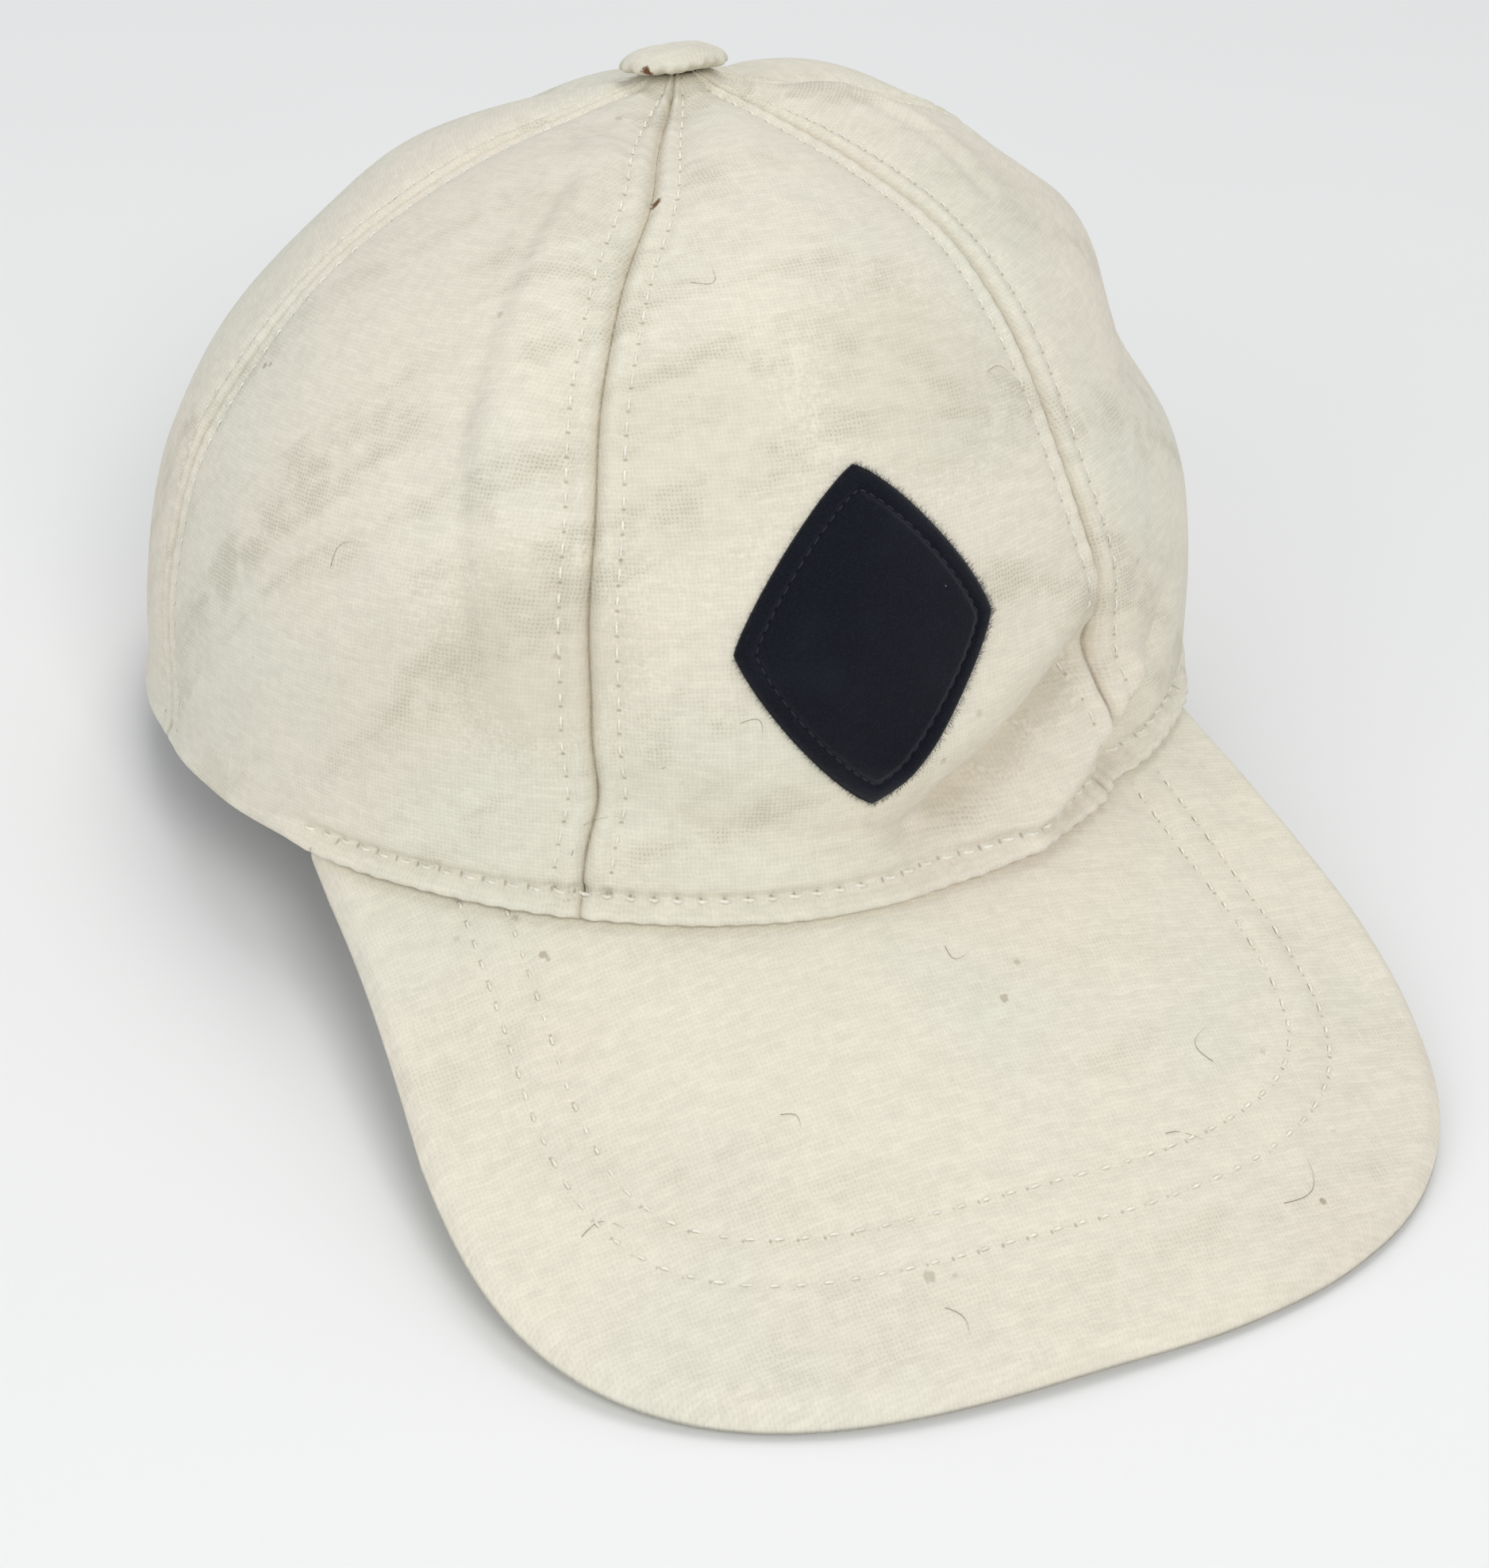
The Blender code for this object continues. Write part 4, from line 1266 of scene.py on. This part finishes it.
def patch_stitches(name, finish):
    """Navy stitches that lie in the lozenge's groove."""
    count = 60
    azimuth, level = patch_border(count, PATCH_ROW)
    normals = outward(azimuth, level)
    places = crown_surface(azimuth, level) + normals * patch_height(np.full(1, PATCH_ROW))[0]
    ends = np.roll(places, -1, axis=0)
    return thread_pieces(name, places, ends, normals, finish, **PATCH_THREAD)


def tapered_fibres(name, paths, radius, finish):
    """Thin round fibres, each along its own path of points and narrowing to its tip.

    paths is an array of fibre, point and place; each ring is a triangle across the path.
    """
    count, rings, _ = paths.shape
    tangent = unit(np.gradient(paths, axis=1))
    helper = np.where(np.abs(tangent[..., 2:]) < 0.9, [0.0, 0.0, 1.0], [1.0, 0.0, 0.0])
    beside = unit(np.cross(tangent, helper))
    above = np.cross(tangent, beside)
    turn = np.linspace(0.0, 2 * math.pi, 3, endpoint=False)
    taper = radius * (1.0 - 0.85 * np.linspace(0.0, 1.0, rings) ** 2)[None, :, None, None]
    ring = beside[:, :, None] * np.cos(turn)[:, None] + above[:, :, None] * np.sin(turn)[:, None]
    points = paths[:, :, None] + taper * ring
    return finished_piece(name, points, tube_faces(count, 3, rings), finish)


def patch_fuzz(name, finish):
    """Short felt fibres that stand out round the lozenge's edge, bent by seeded draws."""
    count = 1700
    draw = np.random.default_rng(21)
    azimuth, level = patch_border(count, 0.0003)
    out_azimuth, out_level = patch_border(count, -0.0010)
    base = crown_surface(azimuth, level) + outward(azimuth, level) * 0.0004
    out = unit(crown_surface(out_azimuth, out_level) - base)
    up = outward(azimuth, level)
    along = np.cross(up, out)
    lean = draw.normal(0.0, 0.6, (count, 1))
    lift = draw.uniform(-0.1, 0.9, (count, 1))
    heading = unit(out + along * lean + up * lift)
    base = base + up * draw.uniform(0.0, 0.0009, (count, 1))
    length = draw.uniform(0.0004, 0.0012, (count, 1))
    share = np.linspace(0.0, 1.0, 4)[None, :, None]
    bend = along * draw.normal(0.0, 0.35, (count, 1))
    straight, curved = (heading * length)[:, None], (bend * length)[:, None]
    paths = base[:, None] + straight * share + curved * share**2
    return tapered_fibres(name, laid_down(paths), 0.00003, finish)


def button_piece(name, finish):
    """The covered button: a lopsided dome turned about the top, its cloth gathered underneath.

    At polar angle t the radius is sin(t) to a power below one, which squares the dome. The upper
    height is the cosine to 1.2 and the lower one its own power of the underside's share. The pleats
    are cosines of the azimuth that grow from the widest ring down and inwards, and the whole leans
    by shares of the two sideways places.
    """
    sides, rings = 180, 56
    angle = np.linspace(0.02, math.pi - 0.02, rings)
    turn = np.linspace(0.0, 2 * math.pi, sides, endpoint=False)
    angle, turn = np.meshgrid(angle, turn, indexing="ij")
    upper = np.cos(angle) > 0
    radius = np.sin(angle) ** np.where(upper, *BUTTON_POWERS)
    under = np.clip(-np.cos(angle), 0.0, 1.0)
    pleat = np.cos(19 * turn + 0.8 * np.sin(3 * turn)) + 0.5 * np.cos(11 * turn + 1.0)
    growth = np.clip((angle - 1.1) / 0.7, 0.0, 1.0)
    pleated = 1.0 - 0.030 * pleat * growth
    waist = BUTTON_HEIGHT * BUTTON_WAIST
    height = np.where(
        upper,
        waist + (BUTTON_HEIGHT - waist) * np.abs(np.cos(angle)) ** 1.2,
        waist * (1.0 - under**0.7) + BUTTON_LIFT * under**0.7,
    )
    x = BUTTON_RADIUS * radius * pleated * np.sin(turn)
    y = -BUTTON_RADIUS * radius * pleated * np.cos(turn)
    lean = BUTTON_LEAN[0] * x + BUTTON_LEAN[1] * y
    wobble = 0.00022 * np.sin(3 * turn + 0.6) + 0.00012 * np.sin(7 * turn)
    z = height + lean + wobble * radius + 0.00010 * pleat * growth * radius
    points = np.stack([x, y, z], -1) + BUTTON_PLACE
    dents = cloth_waves(points, shortest=0.005, longest=0.014) * 2.2
    points[..., 2] += dents
    reach = BUTTON_RADIUS * angle / (math.pi / 2) * 1.1
    weave = np.stack([reach * np.sin(turn), reach * np.cos(turn)], -1)
    count = rings * sides
    skin = grid_quads(sides, rings, closed=True, flipped=True)
    faces = [*skin, np.arange(sides), np.arange(count - sides, count)[::-1]]
    piece = finished_piece(name, laid_down(points), faces, finish, {"weave": weave})
    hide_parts("top_button")
    return piece


# Stains of the crown, patches of painted shade in its dent and crease, and soft grey patches:
# azimuth in degrees, level, radius in metres, strength, colour
CROWN_STAINS_AND_SHADE = [
    (-26.3, 0.735, 0.0013, 1.00, RUST),
    (-82.5, 0.458, 0.0007, 0.6, FLECK_BROWN),
    (-81.3, 0.462, 0.0006, 0.5, FLECK_BROWN),
    (-42, 0.7, 0.008, 0.16, GREY_SOIL_AND_SHADE),
    (-75, 0.02, 0.006, 0.25, GREY_SOIL_AND_SHADE),
    # Painted shade, with some grey soil, along the dent beside the front panel's seam on the
    # wearer's left and in the crease past it
    (26, 0.185, 0.0085, 0.28, GREY_SOIL_AND_SHADE),
    (22, 0.15, 0.0095, 0.34, GREY_SOIL_AND_SHADE),
    (16, 0.115, 0.0085, 0.32, GREY_SOIL_AND_SHADE),
    (10, 0.085, 0.0075, 0.24, GREY_SOIL_AND_SHADE),
    (38, 0.095, 0.006, 0.3, GREY_SOIL_AND_SHADE),
    # Broad soft grey patches
    (-34.5, 0.258, 0.02, 0.3, GREY_SOIL_AND_SHADE),
    (-19.5, 0.442, 0.023, 0.2, GREY_SOIL_AND_SHADE),
    (9, 0.483, 0.022, 0.24, GREY_SOIL_AND_SHADE),
    (46, 0.629, 0.018, 0.15, GREY_SOIL_AND_SHADE),
    (-49.5, 0.179, 0.02, 0.12, GREY_SOIL_AND_SHADE),
]

# Dark marks of the peak: side, reach, radius in metres, strength, colour
PEAK_STAINS = [
    (-0.568, 0.128, 0.0009, 0.55, FLECK_BROWN),
    (-0.56, 0.135, 0.0006, 0.45, FLECK_BROWN),
    (0.103, 0.273, 0.0009, 0.5, FLECK_BROWN),
    (0.298, 0.89, 0.0007, 0.65, FLECK_BROWN),
    (-0.135, 0.775, 0.0012, 0.4, FLECK_BROWN),
]

# Stray hairs: where each starts and ends, azimuth and level on the crown or side and reach on the
# peak, and how far its middle bows aside, as a share of its run
CROWN_HAIRS = [
    (-31, 0.062, -25.5, 0.098, 0.3),
    (-22, 0.155, -20.5, 0.135, 0.9),
    (-19, 0.62, -16, 0.64, -0.6),
    (-14.5, 0.2, -12.5, 0.185, 0.5),
    (-58, 0.3, -55, 0.33, 0.25),
    (20, 0.47, 23.5, 0.455, 0.3),
    (140, 0.35, 146, 0.38, 0.35),
    (-150, 0.5, -145, 0.47, 0.3),
]
PEAK_HAIRS = [
    (0.258, 0.855, 0.32, 0.8, -0.3),
    (-0.13, 0.84, -0.118, 0.905, 0.25),
    (-0.478, 0.735, -0.43, 0.69, 0.35),
    (0.31, 0.56, 0.335, 0.5, 0.4),
    (0.19, 0.64, 0.225, 0.69, 0.2),
    (-0.25, 0.42, -0.23, 0.455, 0.4),
    (0.06, 0.13, 0.09, 0.16, -0.5),
]


def hair_paths(table, surface):
    """Hairs that lie on a surface: a straight run in its two parameters, bowed by sin(pi u)."""
    share = np.linspace(0.0, 1.0, 12)
    paths = []
    for first_a, first_b, last_a, last_b, bow in table:
        points, normals = surface(
            first_a + (last_a - first_a) * share, first_b + (last_b - first_b) * share)
        aside = np.cross(normals, points[-1] - points[0])
        lift = 0.00012 + 0.0005 * share**3
        points = points + aside * (bow * np.sin(math.pi * share))[:, None]
        paths.append(points + normals * lift[:, None])
    return np.array(paths)


def crown_with_normals(degrees, level):
    """Points of the crown's outer face and its normals, at azimuths in degrees."""
    azimuth = np.radians(degrees)
    return crown_surface(azimuth, level), outward(azimuth, level)


def peak_with_normals(side, reach):
    """Points of the peak's top face and its normals."""
    return peak_surface(side, reach), peak_normal(side, reach)


def laid_stains_and_shade(table, surface):
    """Stains and patches of painted shade with the places of their middles in the row frame instead
    of on a surface.
    """
    spots = [surface(np.array([first]), np.array([second]))[0] for first, second, *_ in table]
    return [(tuple(laid_down(spot)[0]), *row[2:]) for spot, row in zip(spots, table)]


def camera():
    """The photograph's camera: a pinhole in the cap's own frame, carried over as the cap rests."""
    cos, sin = math.cos(CAMERA_AZIMUTH), math.sin(CAMERA_AZIMUTH)
    level = math.cos(CAMERA_ELEVATION)
    back = np.array([sin * level, -cos * level, math.sin(CAMERA_ELEVATION)])
    right = np.array([cos, sin, 0.0])
    up = np.cross(back, right)
    cos, sin = math.cos(CAMERA_ROLL), math.sin(CAMERA_ROLL)
    axes = np.array([cos * right + sin * up, cos * up - sin * right, back]) @ REST_TURN.T
    lens = bpy.data.cameras.new("photo_camera")
    lens.sensor_fit = "VERTICAL"
    lens.sensor_height = 36.0
    lens.lens = FOCAL_PIXELS / PHOTO_SIZE[1] * lens.sensor_height
    lens.shift_x = -CENTRE_PIXELS[0] / PHOTO_SIZE[1]
    lens.shift_y = CENTRE_PIXELS[1] / PHOTO_SIZE[1]
    lens.clip_start, lens.clip_end = 0.01, 50.0
    made = linked("photo_camera", lens)
    turn = Matrix(axes.tolist()).transposed().to_4x4()
    made.matrix_world = Matrix.Translation(laid_down(back * CAMERA_DISTANCE)) @ turn
    bpy.context.scene.camera = made


def soft_light(name, place, size, power, colour=(1.0, 1.0, 1.0)):
    """A square studio softbox that looks at the middle of the cap."""
    lamp = bpy.data.lights.new(name, "AREA")
    lamp.size, lamp.energy, lamp.color = size, power, colour
    made = linked(name, lamp)
    made.location = place
    made.rotation_mode = "QUATERNION"
    made.rotation_quaternion = (Vector(LIGHT_TARGET) - Vector(place)).to_track_quat("-Z", "Y")


def studio():
    """A pale floor, a pale surrounding and three softboxes."""
    sheet = bpy.data.meshes.new("floor")
    corners = [(-15.0, -15.0), (15.0, -15.0), (15.0, 15.0), (-15.0, 15.0)]
    sheet.from_pydata([(x, y, -0.0002) for x, y in corners], [], [(0, 1, 2, 3)])
    sheet.materials.append(floor_finish("pale_floor"))
    linked("floor", sheet)
    world = bpy.data.worlds.new("studio")
    bpy.context.scene.world = world
    world.use_nodes = True
    around = world.node_tree.nodes["Background"].inputs
    around["Color"].default_value = (0.93, 0.96, 1.0, 1.0)
    around["Strength"].default_value = 0.52
    soft_light("key_light", (-0.05, -1.20, 1.15), 0.55, 9.3, colour=(1.0, 0.985, 0.95))
    soft_light("fill_light", (-1.2, -0.4, 0.8), 1.2, 4.4, colour=(0.97, 0.99, 1.0))
    soft_light("top_light", (0.2, 0.3, 1.6), 0.8, 5.5)
    bpy.context.scene.view_settings.view_transform = "Standard"


crown_stains_and_shade = laid_stains_and_shade(CROWN_STAINS_AND_SHADE, crown_with_normals)
peak_stains = laid_stains_and_shade(PEAK_STAINS, peak_with_normals)
crown_wool = wool_flannel("crown_wool", ("seam_row", "hem_row"), 1.0, crown_stains_and_shade)
peak_wool = wool_flannel("peak_wool", ("peak_row_0", "peak_row_1"), 0.35, peak_stains)
button_stains = [(tuple(laid_down(np.add(BUTTON_PLACE, BUTTON_STAIN))), 0.0013, 1.0, RUST)]
plain_wool = wool_flannel("plain_wool", (), 0.5, button_stains)
navy = felt("navy_felt_cloth")
cream_thread = cotton_thread("cream_thread", THREAD_CREAM)
navy_thread = cotton_thread("navy_thread", THREAD_NAVY)

for index, node in enumerate(PANELS):
    allowances = allowance_piece(node, index, plain_wool)
    cloth = panel_piece(node, index, crown_wool)

top_cover = peak_piece("peak_top_cloth", "peak_top_cover", False, peak_wool)
under_cover = peak_piece("peak_under_cloth", "peak_under_cover", True, peak_wool)

button_piece("top_button_cloth", plain_wool)
patch = patch_piece("front_patch_felt", navy)
patch_stitches("patch_stitches", navy_thread)
patch_fuzz("patch_fibres", hair_finish("navy_fibres", HAIR_NAVY))
seam_stitches("seam_stitches", False, cream_thread)
seam_stitches("inner_seam_stitches", True, cream_thread)
hem_stitches("hem_stitches", False, cream_thread)
hem_stitches("inner_hem_stitches", True, cream_thread)
peak_stitches("peak_stitches", False, cream_thread)
peak_stitches("under_peak_stitches", True, cream_thread)

hair = hair_finish("brown_hair", HAIR_BROWN)
tapered_fibres("crown_hairs", laid_down(hair_paths(CROWN_HAIRS, crown_with_normals)), 0.00004, hair)
tapered_fibres("peak_hairs", laid_down(hair_paths(PEAK_HAIRS, peak_with_normals)), 0.000045, hair)

rivet_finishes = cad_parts["button_rivet"].data.materials
rivet_finishes.clear()
rivet_finishes.append(nickel("nickel_plate"))

camera()
studio()
